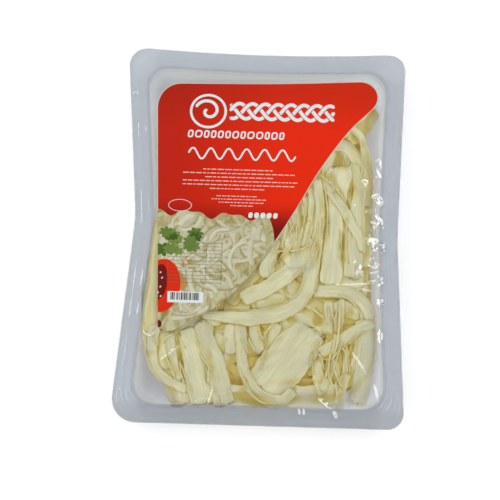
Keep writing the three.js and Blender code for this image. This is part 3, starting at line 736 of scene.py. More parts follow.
# Lays one strand on the heap. Its middle line follows the path, its width swells and sways a
# little, its sides are torn and its ends ragged. Its base is the height of what lies below, bridged
# between high places: in each sweep the larger of that height and the neighbours' mean less the sag.
# Its top adds the thickness, flat with rounded edges and fine fibres, and stays below the ceiling
# given. With a limit, a strand that would lie above it for more than a third of its length is dropped.
def layStrand(path, width, thick, draw, style, under, limit=None):
    line, slope, along = smoothPath(path, style["step"])
    length = along[-1]
    thick = thick * style["flatten"]
    widths = np.atleast_1d(np.array(width, float)) * style["widen"]
    knots = np.concatenate([[0], np.cumsum(np.linalg.norm(np.diff(np.array(path, float), axis=0), axis=1))])
    full = np.interp(along / length, knots / knots[-1], np.resize(widths, len(knots)))
    full += np.minimum(style["swell"][0] * full, style["swell"][1]) * sway(draw, along, 23)
    toEnd = np.minimum(along, length - along)
    rounding = np.clip(toEnd / np.minimum(0.4 * full, style["blunt"]), 0, 1)
    half = full / 2 * (0.3 + 0.7 * np.sqrt(1 - (1 - rounding) ** 2))
    count = int(np.clip(round(widths.max() / style["across"]), style["fewest"], style["most"]))
    u = np.sin(np.linspace(-1, 1, count) * 1.45) / math.sin(1.45)
    torn = np.minimum(style["torn"], 0.1 * full)[:, None]
    left, right = (torn * (0.7 * sway(draw, along, 9) + 0.5 * sway(draw, along, 4))[:, None]
                   for _ in range(2))
    offset = np.minimum(style["stray"][0] * full, style["stray"][1]) * sway(draw, along, 31)
    across = half[:, None] * u + np.where(u < 0, left, right) * np.abs(u) ** 3
    shifts = np.interp(u, np.linspace(-1, 1, 7), draw.uniform(-1, 1, 7)) + 0.4 * draw.uniform(-1, 1, count)
    pushed = (np.clip(1 - toEnd / 5, 0, 1) * np.minimum(style["ragged"], 0.25 * full))[:, None] * shifts
    x = line[:, :1] - slope[:, 1:2] * (across + offset[:, None]) + slope[:, :1] * pushed
    y = line[:, 1:2] + slope[:, :1] * (across + offset[:, None]) + slope[:, 1:2] * pushed
    row, column = cellsAt(x, y)
    support = heights[row, column]
    if limit is not None and (support.mean(axis=1) + thick > limit(x, y).mean(axis=1)).mean() > 0.35:
        return None
    highest = support.max(axis=1)
    padded = np.pad(highest, 3, mode="edge")
    spread = np.max(np.stack([np.roll(padded, k)[3:-3] for k in range(-2, 3)]), axis=0)
    base = np.repeat(spread[:, None], count, axis=1)
    for _ in range(style["sweeps"]):
        base = np.maximum(support, neighbourMean(base) - style["sag"])
    for _ in range(3):
        base = neighbourMean(base)
    base -= style["sink"]
    edge = np.minimum(style["edge"], 0.9 * half)[:, None]
    inward = np.clip(half[:, None] * (1 - np.abs(u)) / edge, 0, 1)
    shoulder = np.sqrt(1 - (1 - inward) ** 2 * 0.999)
    relief = strandFibres(draw, across, along, widths.mean(), style["ribs"]) * min(1, thick / 1.2)
    for _ in range(draw.integers(0, 3)):
        at = draw.uniform(-0.75, 0.75) * widths.mean() / 2 + 0.12 * full * sway(draw, along, 80)
        strength = draw.uniform(-0.3, 0.35) * (0.6 + 0.4 * sway(draw, along, 45))
        relief += strength[:, None] * np.exp(-(((across - at[:, None]) / draw.uniform(0.8, 2.2)) ** 2))
    level = np.minimum(base + thick, under[row, column])
    if style["melt"]:
        level -= (thick + 0.7) * (1 - smoothStep(toEnd, 0, style["melt"]))[:, None]
    top = level + (relief - thick * 0.55 * (1 - shoulder)) * np.minimum(1, 0.25 + inward)
    base = np.maximum(np.minimum(base, level - 0.6 * thick), heap["floor"])
    lower = np.maximum(base + thick * 0.3 * (1 - shoulder), heap["floor"])
    np.maximum.at(heights, (row, column), level - 0.1 * thick)
    picks = np.unique(np.round(np.linspace(1, count - 2, max(4, count // 3))).astype(int))[::-1]
    ringX, ringY = np.hstack([x, x[:, picks]]), np.hstack([y, y[:, picks]])
    ringZ = np.hstack([top, np.minimum(lower[:, picks], top[:, picks] - 0.2)])
    shift = draw.uniform(0, 900, 2)
    # the rim value marks painted shade along the strand's edges, at its ends and on its underside
    atEnd = 1 - smoothStep(toEnd, 0, 1.8)[:, None]
    return {
        "points": np.stack([ringX, ringY, ringZ], axis=-1), "level": np.hstack([level, level[:, picks]]),
        "across": np.hstack([across, across[:, picks]]) + shift[0],
        "along": np.repeat(along[:, None], ringX.shape[1], axis=1) + shift[1],
        "rimShade": np.hstack([np.maximum(1 - shoulder**2, atEnd), np.ones_like(level[:, picks])]),
        "tone": float(np.clip(draw.normal(0, 0.022), -0.05, 0.05)),
        "line": line, "slope": slope, "half": half,
    }


# Thin fibres that have come loose from a strand: each starts on it, runs along it and peels off
# past its edge
def looseFibres(draw, strand, fewest, most):
    line, slope, half = strand["line"], strand["slope"], strand["half"]
    fibres = []
    for _ in range(draw.integers(fewest, most + 1)):
        side, start = draw.choice([-1, 1]), draw.uniform(0.05, 0.55)
        share = np.linspace(start, min(0.97, start + draw.uniform(0.2, 0.45)), 5)[::draw.choice([-1, 1])]
        at = (share * (len(line) - 1)).astype(int)
        onIt, pastIt = np.array([0.6, 0.8, 0.95, 1.0, 1.0]), np.array([0, 0, 0.2, 0.8, 1.6])
        off = side * (half[at] * onIt + pastIt * draw.uniform(0.4, 1.6))
        path = line[at] + np.stack([-slope[at, 1], slope[at, 0]], axis=1) * off[:, None]
        if np.linalg.norm(np.diff(path, axis=0), axis=1).min() > 2:
            fibres.append((path, draw.uniform(0.7, 1.3), 1.3))
    return fibres


# Strands strewn at random over the heap. Each starts inside it, runs on with a drawn bend and is
# kept if it lies below the level wanted there.
def strewStrands(count, tries, seed, lengths, widthRange, thickRange, style, limit, reach):
    draw = np.random.default_rng(seed)
    strands = []
    for _ in range(tries):
        x, y = draw.uniform(-1, 1) * heap["halfWidth"], draw.uniform(-1, 1) * heap["halfLength"]
        heading = draw.uniform(0, 2 * math.pi)
        bend, length = draw.uniform(-0.35, 0.35, 3), draw.uniform(*lengths)
        turns = heading + np.cumsum(np.concatenate([[0], bend]))
        steps = length / 4 * np.stack([np.cos(turns), np.sin(turns)], axis=1)
        path = np.array([x, y]) + np.concatenate([[[0, 0]], np.cumsum(steps, axis=0)])
        path -= steps.sum(axis=0) / 2
        width = draw.uniform(*widthRange)
        inside = reach - width / 2 / heap["halfWidth"]
        path /= np.maximum(1, reachInHeap(path[:, 0], path[:, 1]) / inside)[:, None]
        path[:, 1] = np.minimum(path[:, 1], heap["farEdge"])
        rightX, drawnIn = heap["rightEdge"]
        path[:, 0] = np.minimum(path[:, 0], rightX - drawnIn * smoothStep(path[:, 1], 0, 60))
        bare = any((np.hypot((path[:, 0] - x) / w, (path[:, 1] - y) / h) < 1).any()
                   for x, y, w, h in heap["bare"])
        if bare or np.linalg.norm(np.diff(path, axis=0), axis=1).min() < 6:
            continue
        path = np.stack(drawIn(path[:, 0], path[:, 1]), axis=1)
        cap = lowSurface - draw.uniform(0, 1.2)
        strand = layStrand(path, width, draw.uniform(*thickRange), draw, style, cap, limit)
        if strand is not None:
            strands.append(strand)
        if len(strands) == count:
            break
    return strands


# One mesh of many strands. A point's deep tone, painted shade, is depth x its share by level, and its yellow
# rim, also painted shade, the larger of its own and the share beside a higher strand.
def strandsMesh(name, strands, depth):
    faces, caps, tones, first = [], [], [], 0
    for strand in strands:
        rings, count, _ = strand["points"].shape
        faces.append(ringFaces(rings, count, first)[:, ::-1])
        caps += ringCaps(rings, count, first)
        tones.append(np.full(rings * count, strand["tone"]))
        first += rings * count
    points = np.concatenate([strand["points"].reshape(-1, 3) for strand in strands])
    across, along, level, rimShade = (np.concatenate([strand[key].ravel() for strand in strands])
                                 for key in ("across", "along", "level", "rimShade"))
    piece = addMesh(name, points, [np.concatenate(faces), *caps])
    addMap(piece, "strand", across, along)
    addValues(piece, "tone", np.concatenate(tones))
    addValues(piece, "sunk", depth * sunkAt(points[:, 0], points[:, 1], level))
    addValues(piece, "rimShade", np.maximum(rimShade, shadeBesideAt(*points.T)))
    return piece


# Core: rings that are shares of the heap's outline, rolling on top and flat below
def makeCore():
    around, shares = 150, np.array([0.03, 0.15, 0.3, 0.45, 0.6, 0.7, 0.78])
    angle = np.arange(around) / around * 2 * math.pi
    dx, dy = heap["halfWidth"] * np.cos(angle), heap["halfLength"] * np.sin(angle)
    unit = 1 / reachInHeap(dx, dy)

    def ring(share, height):
        x, y = drawIn(dx * unit * share, dy * unit * share)
        return np.stack([x, y, height(x, y)], axis=-1)

    rings = [ring(share, coreTop) for share in shares]
    rings += [ring(0.81, lambda x, y: coreTop(x, y) - 0.9),
              ring(0.82, lambda x, y: 0 * x + heap["base"] + 0.6)]
    rings += [ring(share, lambda x, y: 0 * x + heap["base"]) for share in (0.8, 0.5, 0.03)]
    points = np.concatenate(rings)
    faces = [ringFaces(len(rings), around)[:, ::-1], *ringCaps(len(rings), around)]
    piece = addMesh("cheeseCore", points, faces)
    addMap(piece, "strand", points[:, 0], points[:, 1])
    for name in ("tone", "rimShade"):
        addValues(piece, name, np.zeros(len(points)))
    addValues(piece, "sunk", sunkAt(*points.T))
    return piece


# The strands that show, from the bottom of the heap to the top: path, width (one value or one at
# each point), thickness, and for some a tone of their own (brightness, partly painted light and shade,
# and least share of the yellow rim, which is painted shade) or another reach of the ends
shownStrands = [
    ([(-74, -110), (-70, -125), (-63, -144)], 17, 2.2),
    ([(-79, -80), (-81, -97), (-74, -113)], 15, 2.2),
    ([(14, -72), (9, -87), (4, -100)], 10, 2.6),
    ([(-56, -126), (-52, -134), (-47, -141)], 9, 2.4),
    ([(-89.5, 10), (-90.6, -20), (-91.9, -42), (-92.6, -64), (-92, -82), (-89.5, -97)],
     (6, 9, 12, 14, 13, 11), 12, {"tone": (0.04, 0.45)}),
    ([(57, -53), (57.5, -66), (56, -80)], 8, 3),
    ([(65.5, -52), (66.5, -66), (65, -78)], (9, 8, 6), 3),
    ([(91, -74), (89.5, -96), (87.5, -116), (82.5, -138)], 15, 3),
    ([(54, -86), (49, -102), (50, -118), (54, -132)], 9, 2.8),
    ([(70, -86), (73, -100), (72, -114)], 5, 2.8),
    ([(64, -104), (66, -117), (71, -125)], 5, 2.8),
    ([(73, -114), (69, -128), (68, -144)], 8, 2.8),
    ([(-75, -83), (-73.5, -96), (-70.5, -110), (-65, -124)], 7.5, 3),
    ([(-24, -74), (-24, -88), (-23, -100)], 11, 3),
    ([(-5, -72), (-3, -86), (0, -99)], 9, 3),
    ([(44, -77), (34, -90), (18.5, -110), (3.5, -129)], (24, 34, 37, 33), 3.4),
    ([(-16, -74), (-15, -94), (-12.5, -112), (-5, -127), (8, -136), (21, -137), (29, -128)], 9, 3.4),
    ([(-86.5, -77), (-89, -87), (-90, -98), (-88.2, -110), (-80, -120.5), (-68.5, -126.8), (-59, -130.5)],
     (9, 9, 9, 9, 8, 7, 7), 4),
    ([(-60, -79), (-57, -93), (-53.5, -108), (-50, -122), (-45, -142)], (14, 17, 19, 20, 21), 3.6),
    ([(-51.5, -74), (-45, -87), (-38.5, -102), (-33.5, -118), (-28, -143)], (9, 13, 15, 16, 17), 3.6),
    ([(60, 94), (72, 94), (81, 88), (86, 75), (88.3, 56), (89, 26), (88.5, -4), (87.5, -24)],
     (6, 6, 6, 7, 8, 8, 8, 8), 3.4),
    ([(55, 80), (68, 79), (77, 69.5), (83.5, 58.5), (86, 44), (85, 27)], 10, 3),
    ([(74, 64), (80.5, 46), (80, 26), (78, -4), (76, -34)], (8, 9, 12, 15, 14), 3.4),
    ([(58, 76), (53, 62), (53, 48), (56, 34), (57, 18)], 8, 3),
    ([(63.3, 62), (63.5, 52), (62.5, 40), (61.5, 28), (59.2, -7), (58.5, -40)],
     (21, 21, 17, 13, 14.5, 20), 3.8, {"tone": (0.05, 0), "blunt": 9}),
    ([(43.5, 54), (51.5, 46), (58.5, 37.5), (65.5, 28.5), (71.5, 18), (78, 7.5), (83, -1.5), (84.5, -12)],
     (7, 8, 8, 8, 8, 8, 8, 7), 3),
    ([(95, -69), (85, -75), (73, -82), (61, -91), (50, -98)], 9, 2.6),
    ([(65, -80), (63.5, -96), (60, -112), (53, -128)], 6, 2.6),
    ([(43, -45), (60, -45), (76, -47), (87, -55), (93, -67)], 10, 3.2),
    ([(20, 10), (14, -8), (5, -18), (3, -31)], (8, 8, 7, 7), 3),
    (onStrand((830, 340), (800, 500), (760, 650), (720, 780), crop="heap"), 10, 2.6, {"tone": (0.05, 0)}),
    ([(28, 28), (29, 10), (27, -6), (21, -19), (10, -30)], 10, 3.2),
    (onStrand((960, 130), (990, 260), (960, 330), crop="heap"), 6, 2.8),
    ([(36, 36), (37.5, 18), (36, 0), (31, -16), (26, -28)], 7, 3.2),
    (onStrand((306, 232), (299, 248), (295, 262), (292, 276)), (10, 19, 24, 18), 2.6),
    (onStrand((480, 880), (470, 1000), (420, 1120), crop="heap"), 8, 2.8),
    ([(13, -1), (8.5, -10.5), (5, -20), (4.5, -29), (6.5, -35)], (6, 11, 14, 13, 9), 3.2,
     {"tone": (0.05, 0)}),
    ([(41, 44), (42, 22), (39, 0), (32, -18), (21, -32), (6, -43), (-16, -54)],
     (8, 8, 10, 14, 14, 13, 12), 3.6, {"tone": (0.05, 0)}),
    ([(44, 50), (48, 30), (47.5, 8), (43, -22), (38.5, -43), (30, -57), (13, -66), (-12, -69.5), (-49, -68)],
     (7, 8, 8, 11, 12, 12, 12, 12, 6), 3.8, {"tone": (0.02, 0)}),
    ([(27.5, 9), (29.5, -3), (31.5, -13), (33, -20), (34, -32)], (12, 22, 29, 27, 15), 1.6,
     {"tone": (0.03, 0), "melt": 9}),
]

# Strands that close the gaps low down: path, width, thickness, depth below the ceiling, and for some
# a tone of their own (brightness, partly painted light and shade, and least share of the yellow rim, painted
# shade)
bedStrands = [([(-66, -132), (-30, -134), (20, -134.5), (66, -131)], 17, 12, 2.4)]
sunkStrands = [
    ([(93.5, 114), (87.5, 105), (80, 95), (70, 86)], (11, 14, 15, 15), 8, 1.9, {"tone": (0.24, 0.1)}),
    ([(6, -12), (-4, -24.5), (-12, -36.5), (-20.5, -48.5), (-28, -57)], 13, 6, 3.2, {"tone": (-0.07, 0.7)}),
    ([(28, -35.5), (31, -37), (34.5, -36.5)], 5, 3, 8),
    ([(17, -38), (20, -40.5), (22.5, -46)], 4, 3, 8),
    ([(-11, -57), (-6.5, -55)], 4.5, 3, 8),
    ([(66, 94), (74, 85), (80, 74), (83, 58)], 13, 6, 9),
    ([(60, 80), (62, 68), (63, 52)], 13, 6, 9),
    ([(75.5, 52), (75.5, 40), (76, 28)], 9, 5, 8),
]

# Thin strands over the rest: path and width
fineStrands = [
    (onStrand((340, 304.9), (339.6, 314.9), (338.8, 329.8), (337.5, 343.1), (335, 353), (331.3, 364.6),
              (328.8, 372.9), (331.3, 382.9), (333, 392)), 1.5),
    (onStrand((318, 353), (323, 358), (330.5, 359.2), (334.6, 356.3), (339.6, 349.7), (347, 343.9)), 1.2),
    (onStrand((341.3, 348), (344.6, 349.7), (346.6, 356.3), (347, 364.6), (347.9, 372.9)), 1.4),
    (onStrand((334.6, 369.6), (337.1, 376.2), (339.6, 382.9), (342.9, 387.8)), 2),
    (onStrand((328.8, 306.6), (328.4, 317.4), (328.8, 324.8)), 1.6),
    (onStrand((311.4, 307.4), (319.7, 314), (323, 317.4)), 2),
    (onStrand((241, 338.3), (244.9, 345.9), (248.7, 353.6)), 1.2),
    (onStrand((161.5, 342.8), (167.6, 336.7), (174.5, 333.7)), 1.6),
    (onStrand((272.8, 254.3), (279, 251.2), (295.8, 250.4), (303.5, 248.1), (308, 245.1)), 1.2),
    (onStrand((309.6, 220.6), (307.3, 228.3), (305, 237.4), (301.2, 246.6)), 3),
]

# Places where the strewn strands stay low, each a soft hollow: centre, reach along x and y, and depth.
# The level sinks by the sum of depth x exp(-(dx / reach)^2 - (dy / reach)^2).
deepPlaces = [
    (67.5, -11, 3, 10, 8), (59, -51, 16, 1.5, 5), (76, -62.5, 4, 7, 3), (46.9, -64, 4, 9, 2.5),
    (2.5, -52.5, 8, 5, 3.5), (21, -45.5, 1.6, 4, 5), (30.7, -36.5, 2.5, 3, 5), (6.5, -94, 4, 6, 6),
    (*inGap(1330, 850, "nearLeft"), 5, 8, 6), (-22.5, -115, 5, 15, 6),
    (*inGap(390, 800, "nearLeft"), 3, 9, 6.5), (*inGap(390, 450, "nearLeft"), 3, 4, 4),
    (75.6, -105, 4, 14, 7), (42, -122, 9, 12, 5.5), (62.5, 66.6, 4, 7, 9), (76.5, 80, 5, 9, 9),
    (75.5, 40.6, 2.5, 6, 6), (53, 14, 3, 22, 6), (*inGap(590, 920, "heap"), 3, 6, 5),
    (*inGap(380, 350, "nearRight"), 6, 3, 5), (*inGap(700, 370, "nearRight"), 3, 4, 6),
    (*inGap(960, 440, "nearRight"), 2, 4, 5), (*inGap(990, 760, "nearRight"), 3, 4, 5),
    (*inGap(820, 840, "nearRight"), 3, 3, 4), (*inGap(800, 1290, "nearRight"), 3, 3, 4),
    (*inGap(890, 400, "heap"), 2, 6, 4), (*inGap(1030, 600, "heap"), 2, 6, 4),
    (*inGap(200, 1250, "heap"), 3, 3, 4), (*inGap(1210, 60, "heap"), 2, 6, 3),
]
lowSurface = ceiling - 2.8 - np.minimum(4.8, 1.3 * sum(
    depth * np.exp(-(((gridX - x) / reachX) ** 2) - ((gridY - y) / reachY) ** 2)
    for x, y, reachX, reachY, depth in deepPlaces))


# Level that the lowest strewn strands stay below
def lowLimit(x, y):
    return np.full(x.shape, 5.0)


# Strewn strands may rise more behind the print's slanted edge, where the print hides them
def middleLimit(x, y):
    return 12.0 + 3.5 * smoothStep(behindSlant(x, y), 6, 34)


# Lays a listed strand, with its own ends and tone if it has any
def layPlaced(path, width, thick, under, own):
    ends = {key: value for key, value in own.items() if key != "tone"}
    strand = layStrand(path, width, thick, topDraw, {**strandStyle, **ends}, under=under)
    if "tone" in own:
        strand["tone"], rimShade = own["tone"]
        strand["rimShade"] = np.maximum(strand["rimShade"], rimShade)
    return strand


coarse = {**strandStyle, "step": 2.4, "across": 1.2, "fewest": 7, "most": 15, "flatten": 0.75,
          "widen": 1.0, "torn": 0.2}
floorStrands = strewStrands(70, 300, 5, (60, 150), (8, 18), (2.2, 3.0), {**coarse, "step": 3.2, "most": 11},
                            lowLimit, 0.97)
middleStrands = strewStrands(190, 800, 8, (50, 130), (7, 18), (2.0, 3.0), coarse, middleLimit, 0.96)
print("strewn", len(floorStrands), len(middleStrands))
topDraw = np.random.default_rng(3)
bedded, lowStrands = ([layPlaced(path, width, thick, ceiling - drop, own[0] if own else {})
                       for path, width, thick, drop, *own in table] for table in (bedStrands, sunkStrands))
# a later strand may rise a little nearer to the film, so that it stays above the earlier ones
topStrands = [layPlaced(path, width, thick, ceiling - 0.03 * (len(shownStrands) - order),
                        own[0] if own else {})
              for order, (path, width, thick, *own) in enumerate(shownStrands)]
thin = {**strandStyle, "step": 1.0, "fewest": 7, "flatten": 1.0, "sink": 0.15, "torn": 0.1, "ragged": 0.3,
        "sag": 0.16}
fibres = [(path, width, 1.5) for path, width in fineStrands]
fibres += [fibre for strand in topStrands for fibre in looseFibres(topDraw, strand, 1, 3)]
fibreStrands = [layStrand(path, width, thick, topDraw, thin, under=ceiling + 0.25)
                for path, width, thick in fibres]
print("laid", len(topStrands), len(fibreStrands))


# Highest level of the heap within some cells of each place, evened out by some sweeps
def levelAround(farthest, sweeps):
    steps = range(-5, 6)
    shifts = [(i, j) for i in steps for j in steps if i * i + j * j <= farthest]
    level = np.max(np.stack([np.roll(heights, shift, axis=(0, 1)) for shift in shifts]), axis=0)
    for _ in range(sweeps):
        level = neighbourMean(level)
    return level


heapLevel, nearLevel = levelAround(25, 14), levelAround(5, 2)  # squares of the distances in cells


# Share of the yellow rim, painted shade beside a higher strand: by how far a point lies below the level close
# by
def shadeBesideAt(x, y, z):
    row, column = cellsAt(x, y)
    return 0.85 * smoothStep(nearLevel[row, column] - z, 0.8, 4.0)


# Share of the deep tone, painted shade: by how far a point lies below the level of the heap round it
def sunkAt(x, y, level):
    row, column = cellsAt(x, y)
    return np.clip((heapLevel[row, column] - 0.9 - level) / 8.0, 0, 1)


# rim, deep and low are colours of painted shade, and glow is a painted glow
cheeseLook = {
    "cream": shown(220, 218, 182), "rimShade": shown(202, 186, 103), "deep": shown(191, 174, 88),
    "low": shown(174, 138, 58), "streaks": 0.52, "glow": 0.16, "bump": 1.1, "roughness": 0.45,
}
cheese = cheeseMaterial("pulledCheese", **cheeseLook)
# the number after each layer's strands scales its deep tone, which is painted shade
layers = [("cheeseFloor", floorStrands, 1.0), ("cheeseMiddle", middleStrands + bedded, 1.0),
          ("cheeseLow", lowStrands, 1.7), ("cheeseTop", topStrands, 0.2), ("cheeseFibres", fibreStrands, 0.3)]
for name, strands, depth in layers:
    finishPiece(strandsMesh(name, strands, depth), cheese, "cheese")
finishPiece(makeCore(), cheese, "cheese")


# Lid film: one thin closed skin over flange and heap, drawn tight in most places, crumpled down
# the right side and creased here and there

# Smooth noise between -1 and 1: drawn values on a square lattice, blended by smooth steps
def latticeNoise(x, y, seed):
    table = np.random.default_rng(seed).uniform(-1, 1, (128, 128))
    fromX, fromY = np.floor(x).astype(int), np.floor(y).astype(int)
    shareX, shareY = x - fromX, y - fromY
    shareX, shareY = shareX**2 * (3 - 2 * shareX), shareY**2 * (3 - 2 * shareY)
    corner = [table[(fromY + j) % 128, (fromX + i) % 128] for j in (0, 1) for i in (0, 1)]
    low = corner[0] * (1 - shareX) + corner[1] * shareX
    high = corner[2] * (1 - shareX) + corner[3] * shareX
    return low * (1 - shareY) + high * shareY


film = {
    "cornerSteps": 16, "shortSteps": 60, "longSteps": 260, "bandInset": 36,
    "groove": (0.45, 0.16, 0.4, 0.1),  # depth of the grooves: left, right, near, far
    "crumple": (23.5, 5.0, 0.5, 0.2),  # inset and reach of its band, height of its folds and finer folds
    "foldSlope": 0.45, "foldLean": 0.1,
    "wider": (76, 0.6, 1.5, 1.35),  # folds right of the first, from 0.6 to 1.5 wide, are 1.35 times as wide
}
filmLook = {
    "hazeSheenColour": shown(206, 209, 212), "hazeSheenAmount": 0.5, "roughness": 0.06, "bump": 0.02,
    "crumpleBump": 0.12, "ior": 1.58, "mirrorGain": 2.3,
}

# Folds that catch the light: narrow ridges on the film, each a path and a share of its flank's width
filmFolds = [
    (onFilm((375, 161.5), (378, 160.3), (380.5, 162), (380.8, 166), (379.5, 170)), 0.5),
    (onFilm((376.8, 167), (378, 172), (380, 176), (382, 179.5)), 0.45),
    (onFilm((361, 180.8), (364, 181), (367, 182.2), (369.5, 183.8)), 0.6),
    (onFilm((362.5, 183.6), (365.5, 185), (368.5, 184.6)), 0.5),
    (onFilm((370.5, 197.5), (374, 196.3), (377.5, 196.5), (380.3, 199.5), (381, 203), (380.5, 207)), 0.7),
    (onFilm((376, 200), (378.5, 203), (379.5, 206)), 0.5),
    (onFilm((370.5, 210.8), (372.5, 212)), 0.7),
    (onFilm((374, 211.3), (376, 210.8)), 0.6),
    (onFilm((374.5, 219.5), (377.5, 217.5), (380, 215)), 0.8),
    (onFilm((374.5, 220.5), (378, 220.3), (380.2, 223.5), (380.8, 226.5)), 0.9),
    (onFilm((369.5, 225), (373, 224), (377, 226.8)), 0.8),
    (onFilm((381, 227.5), (383.8, 229.3)), 0.5),
    (onFilm((366, 234.5), (369, 236.8), (372.5, 235.3)), 0.9),
    (onFilm((369, 245), (370, 242.5), (375, 241.3), (378.8, 243)), 0.9),
    (onFilm((381, 242.5), (381.6, 246), (379.5, 248)), 0.8),
    (onFilm((372.5, 247.3), (375, 248.8), (377.5, 249.6)), 0.7),
    (onFilm((381.5, 250.3), (384.5, 253)), 0.6),
    (onFilm((370.8, 252.6), (373, 252.4)), 0.7),
    (onFilm((370, 261.5), (371.5, 264.5), (375, 265.3), (379, 263.7)), 0.9),
    (onFilm((370, 261), (372, 258.6), (375.5, 257.6)), 0.45),
    ([(78.2, -25.3), (81.1, -26.8), (84.4, -28.4)], 1.9),
    (onFilm((360.3, 275), (362, 273.6), (365, 273)), 0.6),
    (onFilm((369.5, 272.8), (374, 272.6), (379, 271)), 0.4),
    (onFilm((377.3, 280), (379.5, 278.5), (381, 275)), 0.8),
    (onFilm((379, 281.8), (380.5, 284), (382, 286.5)), 0.8),
    (onFilm((367, 281.3), (372, 281), (377, 280)), 0.35),
    (onFilm((360.8, 287.8), (363, 288.8), (366, 290), (372, 290.3)), 0.4),
    (onFilm((353.5, 263.5), (355, 261.5), (357.5, 260.8)), 0.3),
    (onFilm((379.8, 297), (380.3, 302), (379.8, 307)), 0.9),
    (onFilm((380, 329), (380.4, 336), (380, 343)), 0.7),
    (onFilm((374, 384), (376.5, 392), (378, 403)), 0.5),
    (onFilm((352, 352), (359, 362), (367, 375)), 0.4),
    (onFilm((160, 359.7), (170, 352), (180.6, 343.6)), 0.35),
    (onFilm((318, 397.8), (326, 404), (333, 410)), 0.7),
    (onFilm((333, 410.5), (337, 419)), 0.6),
    ([(34, -143), (35, -149)], 0.4),
    ([(38, -143), (38.5, -149)], 0.4),
    (onFilm((132, 91.7), (139, 94.6)), 0.5),
    (onFilm((330, 283.5), (345, 284.5), (360, 284), (376, 283)), 0.3),
    ([(-98, -83), (-91.5, -87), (-86, -82.5)], 0.35),
    (onFilm((353.3, 204), (356, 206.5)), 0.45),
    ([(-57.3, -142.4), (-43.2, -136.4), (-27.4, -131.3)], 0.17),
    ([(-37.8, -127.5), (-39.6, -136), (-41.9, -143.2)], 0.22),
    ([(-36.5, -135.4), (-29.7, -139), (-22.9, -140.9)], 0.17),
    ([(-29, -132.6), (-18.1, -130.1), (-6.3, -129.3)], 0.17),
    (onFilm((364.5, 210.5), (368, 212)), 0.4),
]


# Crumple down the right side: folds across the edge, sharpest where the film is drawn in most
def crumpleHeight(x, y, inset):
    warpX = x + 2.5 * latticeNoise(x / 9, y / 9, 21)
    warpY = y + 2.0 * latticeNoise(x / 7, y / 7, 22)
    folds = latticeNoise(warpX / 6.0, warpY / 4.4, 23)
    finer = latticeNoise(warpX / 3.4, warpY / 3.0, 24)
    middle, reach, foldHeight, finerHeight = film["crumple"]
    band = bell(inset, middle, reach)
    place = smoothStep(y, -70, -20) * smoothStep(-y, -85, -55) + 0.25
    return (foldHeight * folds + finerHeight * finer) * band * place * (x > 0), band * place * (x > 0)


# Height, veil and crumple of the film at places. Its height goes over from the flange's to the level
# on the heap, and sags where the heap lies low; the heap is felt as the highest close by.
def filmPoints(inset, x, y):
    level = filmLevel(x, y)
    row, column = cellsAt(x, y)
    gap = np.clip(level - heapLevel[row, column], 0, 12)
    ontoHeap = smoothStep(inset, pack["flangeWidth"], 25)
    covered = smoothStep(distanceTo(labelOutline, x, y), -1, 6)
    z = pack["filmTop"] * (1 - ontoHeap) + level * ontoHeap
    crumple, crumpled = crumpleHeight(x, y, inset)
    sag = 0.35 * smoothStep(gap, 1.5, 8)
    z += ontoHeap * (0.1 * latticeNoise(x / 11, y / 11, 31) * covered + crumple - sag)
    grooves = sum(bell(inset, at, 1.0) for at in tray["grooves"])
    left, right, near, far = film["groove"]
    nearShare, farShare = 1 - smoothStep(y, -142, -122), smoothStep(y, 85, 125)
    deep = np.where(x < 0, left, right) * (1 - nearShare - farShare) + near * nearShare + far * farShare
    deep = deep * (1 - 0.16 * (1 - nearShare) * (1 - latticeNoise(y / 13, 0 * x + 3.7, 33)))
    z += (1 - ontoHeap) * (0.03 * np.sin(inset * 2 * math.pi / 3.1) - deep * grooves)
    # hazy where it stands off the cheese, most of all along the two ends: partly the film's own haze, partly
    # a painted reflection
    atEnds = smoothStep(np.abs(y), 124, 136) * (1 - 0.7 * bell(x, 92, 16) * (y < 0))
    besideWall = smoothStep(inset, pack["flangeWidth"], 16) * (1 - smoothStep(inset, 24, 34))
    hazeSheenShare = besideWall * covered * (0.22 + 0.2 * atEnds) * smoothStep(gap, 2.0, 8)
    return z, hazeSheenShare, crumpled


# The upper skin has all the rings; the lower skin, a smoother copy below it, has fewer
def makeFilm():
    flange = np.linspace(0.3, pack["flangeWidth"], 30)
    bandInset = film["bandInset"]
    band = np.linspace(pack["flangeWidth"], bandInset, 23)[1:]
    inner = bandInset + (pack["width"] / 2 - 0.02 - bandInset) * np.linspace(0, 1, 34)[1:]
    insets = np.concatenate([flange, band, inner])
    under = np.append(insets[:-1:4], insets[-1])
    skins = []
    for rings, drop in ((insets[::-1], 0), (under, pack["filmThickness"] + 0.1)):
        x, y = outlineRings(rings, film["cornerSteps"], film["shortSteps"], film["longSteps"])
        z, hazeSheenShare, crumpled = filmPoints(np.repeat(rings[:, None], x.shape[1], axis=1), x, y)
        skins.append((np.stack([x, y, z - drop], axis=-1), hazeSheenShare, crumpled))
    points, hazeSheenShare, crumpled = (np.concatenate(values) for values in zip(*skins))
    piece = addMesh("lidFilm", points.reshape(-1, 3), [ringFaces(*points.shape[:2])[:, ::-1]])
    addValues(piece, "hazeSheenShare", hazeSheenShare)
    addValues(piece, "crumple", crumpled)
    work = bmesh.new()
    work.from_mesh(piece.data)
    bmesh.ops.remove_doubles(work, verts=work.verts, dist=0.06 * mm)
    work.to_mesh(piece.data)
    work.free()
    return piece


